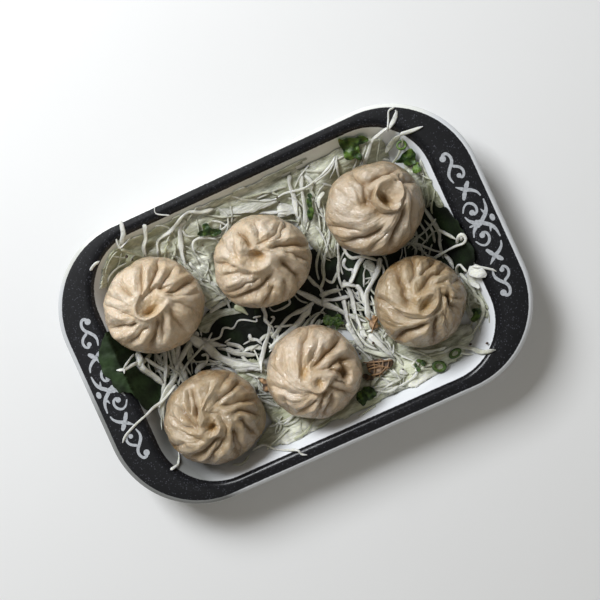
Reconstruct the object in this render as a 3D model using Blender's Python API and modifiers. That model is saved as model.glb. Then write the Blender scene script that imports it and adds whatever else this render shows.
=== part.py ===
"""Six steamed momo dumplings on shredded cabbage and dark leaves, served on an oval-cornered plate.

The plate stands on its foot at z = 0, centred on the origin. Its long side runs along X and its short side
along Y. Every size is in millimetres until the last step, which turns it into metres.
"""

import math
from dataclasses import dataclass

import bmesh
import bpy
from mathutils import Vector

MM = 0.001
GAP = 0.3

# Plate, from the table up.
PLATE_LENGTH = 228.0
PLATE_WIDTH = 152.0
CORNER_STEPS = 8

# Each station of the plate's section: inset from the edge at the ends and at the sides, corner radius, height.
FOOT_RECESS = (56.0, 40.0, 16.0, 2.2)
FOOT_INNER = (55.0, 39.0, 17.0, 0.0)
FOOT_OUTER = (51.5, 35.5, 20.5, 0.0)
FOOT_TOP = (50.5, 34.5, 21.5, 2.2)
UNDERSIDE = (36.0, 22.0, 26.0, 2.6)
WALL_OUTER_LOW = (29.5, 15.5, 28.5, 5.6)
WALL_OUTER_HIGH = (19.8, 6.3, 36.0, 21.2)
RIM_UNDER = (3.6, 3.4, 42.4, 22.2)
LIP_BOTTOM = (1.6, 1.6, 44.4, 21.0)
LIP_EDGE = (0.0, 0.0, 46.9, 22.4)
LIP_TOP = (0.9, 0.8, 46.1, 24.2)
PRINT_BORDER = (2.7, 2.2, 44.8, 25.0)
RIM_CROWN = (11.0, 4.4, 39.4, 25.4)
RIM_SHOULDER = (19.6, 6.6, 33.8, 25.1)
WELL_EDGE = (22.5, 9.0, 30.6, 23.4)
WALL_FOOT = (31.0, 17.2, 26.0, 7.6)
FLOOR_EDGE = (34.0, 20.0, 23.5, 6.1)
FLOOR = (60.0, 44.0, 12.0, 6.0)

# Dark leaves, each lying on the plate: their thickness, and how many cells they have.
LEAF_THICKNESS = 0.6
LEAF_CELLS_ACROSS = 8
LEAF_ROOT = 62.0  # how far from the middle the end leaves start, under the dumplings
FLOOR_LEAF_REACH = (46.0, 26.0)
FLOOR_LEAF_SEGMENTS = 44

# Shredded cabbage: a flat underside on the leaves, and an uneven top.
CABBAGE_BOTTOM = 7.3
CABBAGE_FOOT_INSET = 1.5  # how much further the foot of its sides stands in than the plate's slope
CABBAGE_SIDE = 10.4
CABBAGE_WALL_GAP = 1.9
WALL_SLOPE = 0.55
CABBAGE_BASE = 11.6
CABBAGE_CELLS = (21, 15)
CABBAGE_ROUNDING = 0.27  # how far the heap's corners are rounded off, to fit the well
FAR_BANK = 5.5
NEAR_BANK = 7.0
END_BANK = 3.5

# Room left under a dumpling's rounded side: where it starts as a share of the radius, and its slopes.
CLEARANCE = 0.5
UNDERSIDE_START = 0.78
UNDERSIDE_SLOPE = 0.35
SIDE_SLOPE = 1.6

# Dumplings: where the bed carries them, and the section they share, as shares of radius and height.
MOMO_BASE = 10.8
POINTS_PER_FOLD = 4
MOMO_SECTION = (
    (0.00, 0.00),
    (0.62, 0.00),
    (0.86, 0.13),
    (1.00, 0.36),
    (0.94, 0.60),
    (0.79, 0.78),
    (0.58, 0.90),
    (0.36, 0.96),
    (0.21, 1.00),
    (0.11, 0.94),
    (0.00, 0.90),
)
LIP_STATION = 8


@dataclass
class Momo:
    """One dumpling: lengths in millimetres, angles in degrees from +X, anticlockwise from above."""

    centre: tuple
    reach: tuple  # half extents along X and Y
    height: float
    folds: int
    twist: float  # how far a fold turns clockwise on its way from the knot to the side
    fold_depth: float
    first_fold: float
    bunching: float  # how far folds stray from an even spacing, as a share of one fold
    knot: tuple  # the knot's place from the centre
    pit: tuple  # the pit's half length and half width
    pit_turn: float
    skirt: tuple = (0.0, 0.0)  # a flap at the foot: the angle it points to, and its reach


MOMOS = {
    "momo_1": Momo(
        (-64.2, 29.0), (25.8, 24.2), 34.0, 15, 26.0, 2.2, 4.0, 0.5, (3.8, 0.0), (7.4, 4.2), 32.0
    ),
    "momo_2": Momo(
        (-5.0, 26.5), (24.9, 23.4), 33.0, 14, 38.0, 2.2, 12.0, 0.5, (-0.2, 1.2), (5.8, 5.2), 20.0
    ),
    "momo_3": Momo(
        (57.5, 27.0), (25.0, 23.3), 33.5, 11, 46.0, 2.8, 20.0, 0.6, (9.5, 2.6), (7.0, 5.0), 118.0
    ),
    "momo_4": Momo(
        (59.0, -24.5), (23.0, 23.0), 32.5, 13, 44.0, 2.2, 8.0, 0.4, (1.8, -0.6), (5.6, 3.4), 40.0
    ),
    "momo_5": Momo(
        (-4.0, -35.0), (24.2, 23.6), 33.0, 15, 34.0, 2.1, 16.0, 0.4, (0.9, -3.7), (3.8, 3.0), 60.0
    ),
    "momo_6": Momo(
        (-60.0, -35.0), (25.0, 23.8), 33.5, 16, 34.0, 2.0, 0.0, 0.4, (1.6, -1.7), (3.2, 2.8), 70.0,
        (-32.0, 3.4)
    ),
}


def smooth(share):
    """0 to 1, easing in and out."""
    share = min(max(share, 0.0), 1.0)
    return share * share * (3.0 - 2.0 * share)


def material(name, colour, roughness, metallic=0.0):
    """A plain Principled material."""
    made = bpy.data.materials.new(name)
    made.use_nodes = True
    shader = made.node_tree.nodes["Principled BSDF"]
    shader.inputs["Base Color"].default_value = (*colour, 1.0)
    shader.inputs["Roughness"].default_value = roughness
    shader.inputs["Metallic"].default_value = metallic
    return made


def add_object(name, bm, collection, finish, owner):
    """Turns a bmesh in millimetres into a named object in metres, with its faces pointing out."""
    bmesh.ops.recalc_face_normals(bm, faces=bm.faces)
    bmesh.ops.scale(bm, vec=(MM, MM, MM), verts=bm.verts)
    mesh = bpy.data.meshes.new(name)
    bm.to_mesh(mesh)
    bm.free()
    mesh.shade_smooth()
    mesh.materials.append(finish)
    made = bpy.data.objects.new(name, mesh)
    made.parent = owner
    collection.objects.link(made)
    return made


# ---------------------------------------------------------------- the plate


def half_sizes(station):
    """Half length, half width, corner radius and height of a station of the section."""
    end_inset, side_inset, radius, height = station
    return PLATE_LENGTH / 2 - end_inset, PLATE_WIDTH / 2 - side_inset, radius, height


def rounded_rectangle(half_length, half_width, radius, steps=CORNER_STEPS):
    """Points round a rectangle with round corners, anticlockwise from +X."""
    points = []
    for corner, (side_x, side_y) in enumerate(((1, 1), (-1, 1), (-1, -1), (1, -1))):
        for step in range(steps + 1):
            angle = math.radians(90.0 * (corner + step / steps))
            points.append(
                (
                    side_x * (half_length - radius) + radius * math.cos(angle),
                    side_y * (half_width - radius) + radius * math.sin(angle),
                )
            )
    return points


def loft(bm, rings):
    """Joins rings of equally many points, each to the next, and closes both ends."""
    made = [[bm.verts.new(point) for point in ring] for ring in rings]
    count = len(made[0])
    for lower, upper in zip(made, made[1:]):
        for i in range(count):
            j = (i + 1) % count
            bm.faces.new((lower[i], lower[j], upper[j], upper[i]))
    bm.faces.new(reversed(made[0]))
    bm.faces.new(made[-1])


def build_plate(collection, owner):
    """A plate with a foot, sloped walls, a flat rim that is wide at the ends, and a rolled lip."""
    section = (
        FOOT_RECESS,
        FOOT_INNER,
        FOOT_OUTER,
        FOOT_TOP,
        UNDERSIDE,
        WALL_OUTER_LOW,
        WALL_OUTER_HIGH,
        RIM_UNDER,
        LIP_BOTTOM,
        LIP_EDGE,
        LIP_TOP,
        PRINT_BORDER,
        RIM_CROWN,
        RIM_SHOULDER,
        WELL_EDGE,
        WALL_FOOT,
        FLOOR_EDGE,
        FLOOR,
    )
    rings = []
    for station in section:
        half_length, half_width, radius, height = half_sizes(station)
        outline = rounded_rectangle(half_length, half_width, radius)
        rings.append([(x, y, height) for x, y in outline])
    bm = bmesh.new()
    loft(bm, rings)
    finish = material("plate_melamine", (0.03, 0.03, 0.033), 0.35)
    return add_object("plate", bm, collection, finish, owner)


def well_at(height):
    """Half length, half width and corner radius of the well at a height on its wall."""
    low, high = half_sizes(WALL_FOOT), half_sizes(WELL_EDGE)
    share = (height - low[3]) / (high[3] - low[3])
    return tuple(a + share * (b - a) for a, b in zip(low[:3], high[:3]))


# ---------------------------------------------------------------- the dumplings


def outline_radius(momo, angle):
    """The dumpling's radius at an angle in radians: an ellipse, slightly uneven."""
    half_x, half_y = momo.reach
    ellipse = half_x * half_y / math.hypot(half_y * math.cos(angle), half_x * math.sin(angle))
    wobble = 1.0 + 0.012 * math.cos(3.0 * angle + momo.folds) + 0.008 * math.cos(5.0 * angle + momo.twist)
    return ellipse * wobble


def turned_angle(momo, column, share):
    """Where a column of the skin stands at a share of the radius: it swirls clockwise outwards."""
    uneven = momo.bunching * math.tau / momo.folds * math.sin(2.0 * column + momo.first_fold)
    return column + uneven + math.radians(momo.first_fold - momo.twist * smooth(share))


def fold_relief(momo, column, station):
    """How far a fold's groove lies under its crests: narrow and deep between broad round crests."""
    share, level = MOMO_SECTION[station]
    groove = 1.0 - abs(math.sin(momo.folds * column / 2.0)) ** 0.7
    on_top = smooth((level - 0.2) / 0.45)
    near_knot = smooth((share - 0.05) / 0.3)
    return -momo.fold_depth * groove * on_top * near_knot


def section_normal(momo, station):
    """The section's outward direction at a station, as (outwards, upwards)."""
    before = MOMO_SECTION[max(station - 1, 0)]
    after = MOMO_SECTION[min(station + 1, len(MOMO_SECTION) - 1)]
    run = (after[0] - before[0]) * momo.reach[0]
    rise = (after[1] - before[1]) * momo.height
    length = math.hypot(run, rise)
    return rise / length, -run / length


def pit_edge(momo, angle):
    """The knot's lip at an angle, from the knot's middle: a long or round oval."""
    turn = math.radians(momo.pit_turn)
    along = momo.pit[0] * math.cos(angle - turn)
    across = momo.pit[1] * math.sin(angle - turn)
    return Vector(
        (
            along * math.cos(turn) - across * math.sin(turn),
            along * math.sin(turn) + across * math.cos(turn),
        )
    )


def momo_point(momo, column, station):
    """A point of the dumpling's skin, on a column round the knot and at a station of the section."""
    share, level = MOMO_SECTION[station]
    angle = turned_angle(momo, column, share)
    outwards, upwards = section_normal(momo, station)
    relief = fold_relief(momo, column, station)
    towards_knot = smooth((1.0 - share) / 0.8) * smooth((level - 0.3) / 0.5)
    x = momo.centre[0] + momo.knot[0] * towards_knot
    y = momo.centre[1] + momo.knot[1] * towards_knot
    height = MOMO_BASE + momo.height * level
    if station >= LIP_STATION:
        lip = pit_edge(momo, angle) * share / MOMO_SECTION[LIP_STATION][0]
        return Vector((x + lip.x, y + lip.y, height))
    radius = share * outline_radius(momo, angle) + relief * outwards
    flap_angle, flap = momo.skirt
    away = max(math.cos(angle - math.radians(flap_angle)), 0.0)
    radius += flap * away**8 * smooth(1.0 - abs(level - 0.13) / 0.3)
    return Vector((x + radius * math.cos(angle), y + radius * math.sin(angle), height + relief * upwards))


def build_momo(name, momo, collection, owner, finish):
    """A sphere whose rings take the dumpling's section, its folds, and the pit of its knot."""
    bm = bmesh.new()
    segments = POINTS_PER_FOLD * momo.folds
    bmesh.ops.create_uvsphere(
        bm, u_segments=segments, v_segments=len(MOMO_SECTION) - 1, radius=1.0
    )
    for vert in bm.verts:
        column = math.atan2(vert.co.y, vert.co.x)
        latitude = math.asin(min(max(vert.co.z, -1.0), 1.0))
        station = round((latitude / math.pi + 0.5) * (len(MOMO_SECTION) - 1))
        vert.co = momo_point(momo, column, station)
    return add_object(name, bm, collection, finish, owner)


# ---------------------------------------------------------------- the cabbage


def under_dumplings(x, y):
    """The greatest height at a place that clears every dumpling's rounded underside."""
    free = math.inf
    for momo in MOMOS.values():
        away_x, away_y = x - momo.centre[0], y - momo.centre[1]
        angle = math.atan2(away_y, away_x)
        reach = outline_radius(momo, angle)
        if momo.skirt[1]:
            reach += momo.skirt[1] * max(math.cos(angle - math.radians(momo.skirt[0])), 0.0) ** 8
        distance = math.hypot(away_x, away_y)
        under = UNDERSIDE_SLOPE * max(distance - UNDERSIDE_START * reach, 0.0)
        beside = SIDE_SLOPE * max(distance - reach - 1.0, 0.0)
        free = min(free, MOMO_BASE - CLEARANCE + under + beside)
    return free


def cabbage_top(x, y):
    """Height of the heap's uneven top: low in the middle, and banked against the walls."""
    ripples = 1.3 * math.sin(x / 7.3 + 0.6) * math.cos(y / 6.1 - 0.4) + 0.8 * math.sin(x / 3.9 - y / 5.2)
    far_bank = FAR_BANK * smooth((y - 40.0) / 16.0)
    near_bank = NEAR_BANK * smooth((-y - 44.0) / 14.0) * smooth((62.0 - abs(x)) / 30.0)
    end_bank = END_BANK * smooth((abs(x) - 68.0) / 14.0) * smooth((y + 46.0) / 20.0)
    return min(CABBAGE_BASE + ripples + far_bank + near_bank + end_bank, under_dumplings(x, y))


def heap_place(u, v, height):
    """Where a place on the heap's grid falls in the well at a height: the corners are rounded off."""
    half_length, half_width, _ = (size - CABBAGE_WALL_GAP for size in well_at(height))
    x = half_length * u * math.sqrt(1.0 - CABBAGE_ROUNDING * v * v)
    y = half_width * v * math.sqrt(1.0 - CABBAGE_ROUNDING * u * u)
    return x, y


def build_cabbage(collection, owner):
    """One heap that fills the well round the dumplings, over the leaves: a warped grid with sides and a base."""
    bm = bmesh.new()
    bmesh.ops.create_grid(bm, x_segments=CABBAGE_CELLS[0], y_segments=CABBAGE_CELLS[1], size=1.0)
    for vert in bm.verts:
        u, v = vert.co.x, vert.co.y
        x, y = heap_place(u, v, CABBAGE_SIDE)
        at_edge = smooth((max(abs(u), abs(v)) - 0.55) / 0.45)
        leaned = CABBAGE_SIDE + (cabbage_top(x, y) - CABBAGE_SIDE) * at_edge
        x, y = heap_place(u, v, leaned)
        vert.co = Vector((x, y, cabbage_top(x, y)))
    outer = [edge for edge in bm.edges if edge.is_boundary]
    added = bmesh.ops.extrude_edge_only(bm, edges=outer)["geom"]
    for vert in added:
        if isinstance(vert, bmesh.types.BMVert):
            lowered = (vert.co.z - CABBAGE_BOTTOM) * WALL_SLOPE + CABBAGE_FOOT_INSET
            vert.co -= Vector((vert.co.x, vert.co.y, 0.0)).normalized() * lowered
            vert.co.z = CABBAGE_BOTTOM
    base = [edge for edge in bm.edges if edge.is_boundary]
    bmesh.ops.contextual_create(bm, geom=base)
    finish = material("cabbage_shreds", (0.62, 0.64, 0.52), 0.4)
    return add_object("cabbage", bm, collection, finish, owner)


# ---------------------------------------------------------------- the leaves


def end_section():
    """The plate's inside at one end, as (distance from the middle, height), floor to rim."""
    stations = (FLOOR, FLOOR_EDGE, WALL_FOOT, WELL_EDGE, RIM_SHOULDER, RIM_CROWN)
    return [(half_sizes(station)[0], station[3]) for station in stations]


def lifted(path, lift):
    """A path moved off the plate by a distance, with mitred corners."""
    moved = []
    for i, (x, z) in enumerate(path):
        before = path[max(i - 1, 0)]
        after = path[min(i + 1, len(path) - 1)]
        normals = []
        for (x_a, z_a), (x_b, z_b) in ((before, (x, z)), ((x, z), after)):
            length = math.hypot(x_b - x_a, z_b - z_a)
            if length:
                normals.append((-(z_b - z_a) / length, (x_b - x_a) / length))
        mean_x = sum(n[0] for n in normals) / len(normals)
        mean_z = sum(n[1] for n in normals) / len(normals)
        size = mean_x * mean_x + mean_z * mean_z
        moved.append((x + lift * mean_x / size, z + lift * mean_z / size))
    return moved


def end_leaf_path(root, tip):
    """Where a leaf at one end lies, from its root under the dumplings, up the wall, to its tip."""
    line = lifted(end_section(), GAP + LEAF_THICKNESS / 2)
    bends = [point for point in line if root < point[0] < tip]
    return [(root, height_on(line, root)), *bends, (tip, height_on(line, tip))]


def height_on(line, place):
    """The height of a line of (place, height) points at a place along it."""
    for (x_a, z_a), (x_b, z_b) in zip(line, line[1:]):
        if x_a <= place <= x_b:
            return z_a + (z_b - z_a) * (place - x_a) / (x_b - x_a)
    return line[-1][1]


def build_end_leaf(name, side, tip, middle, half_width, collection, owner, finish):
    """A lobed leaf at one end of the plate: a grid laid along the plate's section, then thickened."""
    path = end_leaf_path(LEAF_ROOT, tip)
    bm = bmesh.new()
    bmesh.ops.create_grid(bm, x_segments=len(path) - 1, y_segments=LEAF_CELLS_ACROSS, size=1.0)
    for vert in bm.verts:
        column = round((vert.co.x + 1.0) / 2.0 * (len(path) - 1))
        share = column / (len(path) - 1)
        x, z = path[column]
        lobes = 1.0 + 0.10 * math.sin(5.0 * share + 2.0 * vert.co.y)
        rounded = math.sqrt(max(1.0 - share**4, 0.16))
        vert.co = Vector((side * x, middle + half_width * lobes * rounded * vert.co.y, z))
    made = add_object(name, bm, collection, finish, owner)
    skin = made.modifiers.new("thickness", "SOLIDIFY")
    skin.thickness = LEAF_THICKNESS * MM
    skin.offset = 0.0
    skin.use_even_offset = True
    return made


def build_floor_leaf(collection, owner, finish):
    """The leaves that lie flat on the middle of the floor, as one lobed piece."""
    bm = bmesh.new()
    bmesh.ops.create_cone(
        bm, cap_ends=True, segments=FLOOR_LEAF_SEGMENTS, radius1=1.0, radius2=1.0, depth=LEAF_THICKNESS
    )
    for vert in bm.verts:
        angle = math.atan2(vert.co.y, vert.co.x)
        lobes = 1.0 + 0.09 * math.sin(5.0 * angle + 0.7) + 0.05 * math.sin(11.0 * angle)
        vert.co.x *= FLOOR_LEAF_REACH[0] * lobes
        vert.co.y *= FLOOR_LEAF_REACH[1] * lobes
        vert.co.z += FLOOR[3] + GAP + LEAF_THICKNESS / 2
    return add_object("leaf_floor", bm, collection, finish, owner)


# ---------------------------------------------------------------- the whole plate of food


def clear_scene():
    """Removes every object that is already there."""
    for old in list(bpy.data.objects):
        bpy.data.objects.remove(old, do_unlink=True)


def main():
    clear_scene()
    collection = bpy.data.collections.new("momo_plate")
    bpy.context.scene.collection.children.link(collection)
    owner = bpy.data.objects.new("momo_plate_origin", None)
    collection.objects.link(owner)
    build_plate(collection, owner)
    leaf = material("dark_leaf", (0.012, 0.026, 0.009), 0.5)
    build_floor_leaf(collection, owner, leaf)
    build_end_leaf("leaf_left", -1, 100.0, 3.0, 20.0, collection, owner, leaf)
    build_end_leaf("leaf_right", 1, 93.5, -1.0, 19.0, collection, owner, leaf)
    build_cabbage(collection, owner)
    dough = material("steamed_dough", (0.62, 0.50, 0.38), 0.35)
    for name, momo in MOMOS.items():
        build_momo(name, momo, collection, owner, dough)


main()
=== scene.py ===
"""A plate of steamed momo dumplings on shredded cabbage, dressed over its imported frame.

Every length in the tables is in millimetres and every angle in degrees, from +X towards +Y.
"""

import math
import random
from collections import namedtuple
from functools import cache

import bmesh
import bpy
import numpy as np
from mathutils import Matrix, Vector, noise
from mathutils.bvhtree import BVHTree


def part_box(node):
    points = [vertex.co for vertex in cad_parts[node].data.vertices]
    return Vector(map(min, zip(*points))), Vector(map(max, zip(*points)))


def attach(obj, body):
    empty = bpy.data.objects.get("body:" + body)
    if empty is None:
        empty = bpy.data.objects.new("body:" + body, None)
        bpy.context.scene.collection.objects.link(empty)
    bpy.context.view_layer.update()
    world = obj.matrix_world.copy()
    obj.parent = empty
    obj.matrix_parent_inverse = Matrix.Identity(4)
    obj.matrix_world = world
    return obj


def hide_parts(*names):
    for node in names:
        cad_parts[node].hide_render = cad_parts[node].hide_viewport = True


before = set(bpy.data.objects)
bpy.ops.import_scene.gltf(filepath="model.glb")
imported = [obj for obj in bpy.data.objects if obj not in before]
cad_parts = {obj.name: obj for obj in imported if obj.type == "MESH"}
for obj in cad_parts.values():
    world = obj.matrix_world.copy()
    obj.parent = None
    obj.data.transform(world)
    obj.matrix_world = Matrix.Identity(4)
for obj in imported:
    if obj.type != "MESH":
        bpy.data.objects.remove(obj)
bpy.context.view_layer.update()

bl_info = {
    "name": "Momo Plate",
    "version": (1, 0, 0),
    "blender": (4, 5, 0),
    "location": "3D View > Sidebar > Momo Plate",
    "description": "Builds a plate of steamed dumplings on shredded cabbage, piece by piece",
    "category": "Object",
}

MM = 0.001
ROOT = "root"
COLOUR = {"subtype": "COLOR", "min": 0.0, "max": 1.0}

# ---------------------------------------------------------------- meshes


def ease(share):
    """0 to 1, easing in and out, for one number or an array."""
    share = np.clip(share, 0.0, 1.0)
    return share * share * (3.0 - 2.0 * share)


def add_piece(name, mesh, finish=None, stands_for=()):
    """Links a finished mesh as a piece of the plate, riding on its one body."""
    made = bpy.data.objects.new(name, mesh)
    bpy.context.scene.collection.objects.link(made)
    if finish is not None:
        mesh.materials.clear()
        mesh.materials.append(finish)
    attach(made, ROOT)
    if stands_for:
        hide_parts(*stands_for)
    return made


def mesh_from(name, points, faces, smooth=True):
    """A mesh from points in millimetres and its faces."""
    mesh = bpy.data.meshes.new(name)
    mesh.from_pydata((np.asarray(points, float) * MM).tolist(), [], faces)
    mesh.validate()
    if smooth:
        mesh.shade_smooth()
    mesh.update()
    return mesh


def ring_faces(rings, columns, first=0):
    """Quads between closed rings of equally many points."""
    faces = []
    for ring in range(rings - 1):
        low = first + ring * columns
        for i in range(columns):
            j = (i + 1) % columns
            faces.append((low + i, low + j, low + columns + j, low + columns + i))
    return faces


def loft_mesh(name, rings):
    """Rings of equally many points joined in order, with both ends closed."""
    columns = len(rings[0])
    points = [point for ring in rings for point in ring]
    faces = ring_faces(len(rings), columns)
    faces.append(tuple(reversed(range(columns))))
    faces.append(tuple(range(len(points) - columns, len(points))))
    return mesh_from(name, points, faces)


def outward(mesh):
    """Points every face of a closed mesh outwards."""
    bm = bmesh.new()
    bm.from_mesh(mesh)
    bmesh.ops.recalc_face_normals(bm, faces=bm.faces)
    bm.to_mesh(mesh)
    bm.free()
    return mesh


def store(mesh, label, values):
    """Keeps a value at each point of a piece, for its material."""
    kept = mesh.attributes.new(label, "FLOAT", "POINT")
    kept.data.foreach_set("value", np.asarray(values, np.float32))


def joined(name, meshes, smooth=True):
    """Several closed meshes as one, keeping what each stores."""
    bm = bmesh.new()
    for mesh in meshes:
        bm.from_mesh(mesh)
    made = bpy.data.meshes.new(name)
    bm.to_mesh(made)
    bm.free()
    for mesh in meshes:
        bpy.data.meshes.remove(mesh)
    if smooth:
        made.shade_smooth()
    else:
        made.shade_flat()
    return outward(made)


def smooth_path(points, steps):
    """A curve through points, in pairs or one after another, in some steps from each to the next."""
    points = np.reshape(points, (-1, 2)).astype(float)
    if len(points) < 3:
        return np.linspace(*points, 2 * steps + 1)
    extended = [2 * points[0] - points[1], *points, 2 * points[-1] - points[-2]]
    made = []
    for before, start, end, after in zip(extended, extended[1:], extended[2:], extended[3:]):
        for step in range(steps):
            t = step / steps
            bend, swing = 2 * before - 5 * start + 4 * end - after, 3 * start - before - 3 * end + after
            made.append(0.5 * (2 * start + (end - before) * t + bend * t * t + swing * t**3))
    made.append(points[-1])
    return np.array(made)


# ---------------------------------------------------------------- shader nodes


def feed(tree, made, inputs):
    """Links a node's inputs, or gives them a value."""
    for key, value in inputs.items():
        if isinstance(value, bpy.types.NodeSocket):
            tree.links.new(value, made.inputs[key])
        else:
            made.inputs[key].default_value = value
    return made


def node(tree, kind, inputs, family="ShaderNode", **settings):
    """A node with its settings and inputs."""
    made = tree.nodes.new(family + kind)
    for name, value in settings.items():
        setattr(made, name, value)
    return feed(tree, made, inputs)


def darker(colour, shares):
    """A colour's three values, each times its share."""
    return [min(value * share, 1.0) for value, share in zip(colour, shares)]


def math_node(tree, operation, first, second=0.0, clamp=False):
    """The result of one sum on two values."""
    return node(tree, "Math", {0: first, 1: second}, operation=operation, use_clamp=clamp).outputs[0]


def times(tree, first, second, clamp=False):
    """Two values multiplied."""
    return math_node(tree, "MULTIPLY", first, second, clamp)


def plus(tree, first, second, clamp=False):
    """Two values added."""
    return math_node(tree, "ADD", first, second, clamp)


def minus(tree, first, second):
    """The first value less the second."""
    return math_node(tree, "SUBTRACT", first, second)


def mix_colour(tree, share, first, second):
    """Two colours mixed by a share, each a socket or its three values."""
    parts = [part if isinstance(part, bpy.types.NodeSocket) else (*part, 1.0) for part in (first, second)]
    return node(tree, "Mix", {"Factor": share, 6: parts[0], 7: parts[1]}, data_type="RGBA").outputs[2]


def remap(tree, value, low, high, start=0.0, end=1.0):
    """A value between low and high, carried to between start and end."""
    limits = {"Value": value, "From Min": low, "From Max": high, "To Min": start, "To Max": end}
    return node(tree, "MapRange", limits).outputs["Result"]


def noise_node(tree, place, scale, detail=3.0, roughness=0.55, distortion=0.0):
    """A noise value at a place."""
    look = {"Scale": scale, "Detail": detail, "Roughness": roughness, "Distortion": distortion}
    return node(tree, "TexNoise", {"Vector": place, **look}).outputs[0]


def new_group(name, inputs, output, kind="Float"):
    """An empty shader node group: its inputs, vectors where there is no default, and one output."""
    tree = bpy.data.node_groups.new(name, "ShaderNodeTree")
    for label, default in inputs.items():
        vector = default is None
        socket_type = "NodeSocketVector" if vector else "NodeSocketFloat"
        socket = tree.interface.new_socket(name=label, in_out="INPUT", socket_type=socket_type)
        if not vector:
            socket.default_value = default
    tree.interface.new_socket(name=output, in_out="OUTPUT", socket_type="NodeSocket" + kind)
    return tree, tree.nodes.new("NodeGroupInput").outputs, tree.nodes.new("NodeGroupOutput").inputs[output]


def use_group(tree, group, inputs):
    """The result of a group placed in a material with its own values."""
    return node(tree, "Group", inputs, node_tree=group).outputs[0]


@cache
def border_group():
    """Distance in metres from the edge of a rectangle with round corners, negative inside."""
    inputs = {"Place": None, "Half Length": 0.1, "Half Width": 0.07, "Radius": 0.04}
    group, given, result = new_group("rounded_border", inputs, "Distance")
    axes = node(group, "SeparateXYZ", {0: given["Place"]})
    beyond = []
    for axis, half in ((0, "Half Length"), (1, "Half Width")):
        away = math_node(group, "ABSOLUTE", axes.outputs[axis])
        core = minus(group, given[half], given["Radius"])
        beyond.append(minus(group, away, core))
    outer = [math_node(group, "MAXIMUM", value, 0.0) for value in beyond]
    squares = [times(group, value, value) for value in outer]
    corner = math_node(group, "SQRT", plus(group, *squares))
    side = math_node(group, "MINIMUM", math_node(group, "MAXIMUM", *beyond), 0.0)
    reach = plus(group, corner, side)
    group.links.new(minus(group, reach, given["Radius"]), result)
    return group


@cache
def patch_group():
    """Soft irregular patches, from 0 to 1, of a size and a share of the surface."""
    inputs = {"Place": None, "Patches per Metre": 100.0, "Threshold": 0.5, "Softness": 0.1}
    group, given, result = new_group("soft_patches", inputs, "Mask")
    value = noise_node(group, given["Place"], given["Patches per Metre"], 4.0)
    low = minus(group, given["Threshold"], given["Softness"])
    high = plus(group, given["Threshold"], given["Softness"])
    limits = {"Value": value, "From Min": low, "From Max": high}
    mask = node(group, "MapRange", limits, interpolation_type="SMOOTHSTEP").outputs["Result"]
    group.links.new(mask, result)
    return group


@cache
def grain_group():
    """A bumpy normal from two sizes of grain."""
    inputs = {"Place": None, "Coarse per Metre": 300.0, "Fine per Metre": 1500.0, "Height": 0.0001,
        "Normal": None}
    group, given, result = new_group("grain_normal", inputs, "Normal", "Vector")
    coarse = noise_node(group, given["Place"], given["Coarse per Metre"], 2.0)
    fine = noise_node(group, given["Place"], given["Fine per Metre"], 2.0)
    height = plus(group, coarse, times(group, fine, 0.5))
    values = {"Height": height, "Distance": given["Height"], "Normal": given["Normal"]}
    group.links.new(node(group, "Bump", values).outputs["Normal"], result)
    return group


def new_finish(name):
    """A material with its shader and the place on the piece: returns material, tree, shader, place."""
    made = bpy.data.materials.new(name)
    made.use_nodes = True
    tree = made.node_tree
    shader = tree.nodes["Principled BSDF"]
    place = node(tree, "TexCoord", {}).outputs["Object"]
    return made, tree, shader, place


def scaled(tree, place, factors):
    """A place stretched along each axis."""
    return node(tree, "Mapping", {"Vector": place, "Scale": factors}).outputs["Vector"]


def grain(tree, place, coarse, fine, height, normal=None):
    """The normal of a grained surface, on top of another normal."""
    if normal is None:
        normal = node(tree, "NewGeometry", {}).outputs["Normal"]
    values = {"Coarse per Metre": coarse, "Fine per Metre": fine, "Height": height, "Normal": normal}
    return use_group(tree, grain_group(), {"Place": place, **values})


def patches(tree, place, per_metre, threshold, softness):
    """A mask of soft patches."""
    values = {"Patches per Metre": per_metre, "Threshold": threshold, "Softness": softness}
    return use_group(tree, patch_group(), {"Place": place, **values})


def uneven(tree, place, per_metre, start, end):
    """A value that wanders between start and end with a noise."""
    return remap(tree, noise_node(tree, place, per_metre), 0.3, 0.7, start, end)


def attribute(tree, name, output="Fac"):
    """A value stored on the piece."""
    return node(tree, "Attribute", {}, attribute_name=name).outputs[output]


# ---------------------------------------------------------------- the plate

# Stations of the plate's section: inset from the edge at the ends and at the sides, corner radius, height.
FOOT = ((56.0, 40.0, 16.0, 2.2), (55.0, 39.0, 17.0, 0.2), (54.6, 38.6, 17.4, 0.0), (51.9, 35.9, 20.1, 0.0))
UNDERSIDE = ((51.5, 35.5, 20.5, 0.2), (50.5, 34.5, 21.5, 2.2), (36.0, 22.0, 26.0, 2.6))
OUTER_WALL = ((33.6, 19.6, 26.6, 3.2), (29.5, 15.5, 28.5, 5.6), (20.4, 6.8, 35.6, 20.2),
    (19.0, 5.6, 36.6, 21.8))
LIP = (
    (3.8, 3.5, 42.3, 22.2),
    (2.8, 2.5, 43.3, 21.3),
    (1.6, 1.6, 44.4, 21.0),
    (0.5, 0.5, 46.3, 21.5),
    (0.0, 0.0, 46.9, 22.4),
    (0.2, 0.2, 46.7, 23.4),
    (0.9, 0.8, 46.1, 24.2),
    (1.8, 1.5, 45.5, 24.8),
)
RIM = ((2.7, 2.2, 44.8, 25.0), (4.0, 2.9, 43.9, 25.15), (11.0, 4.4, 39.4, 25.4), (17.4, 5.6, 35.3, 25.4))
SHOULDER = ((19.6, 6.6, 33.8, 25.1), (20.9, 7.5, 32.8, 24.6), (22.5, 9.0, 30.6, 23.0))
INNER_WALL = ((24.6, 11.0, 29.4, 19.4), (29.8, 16.0, 26.7, 9.6), (31.0, 17.2, 26.0, 7.9),
    (32.4, 18.6, 24.9, 6.7))
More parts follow.
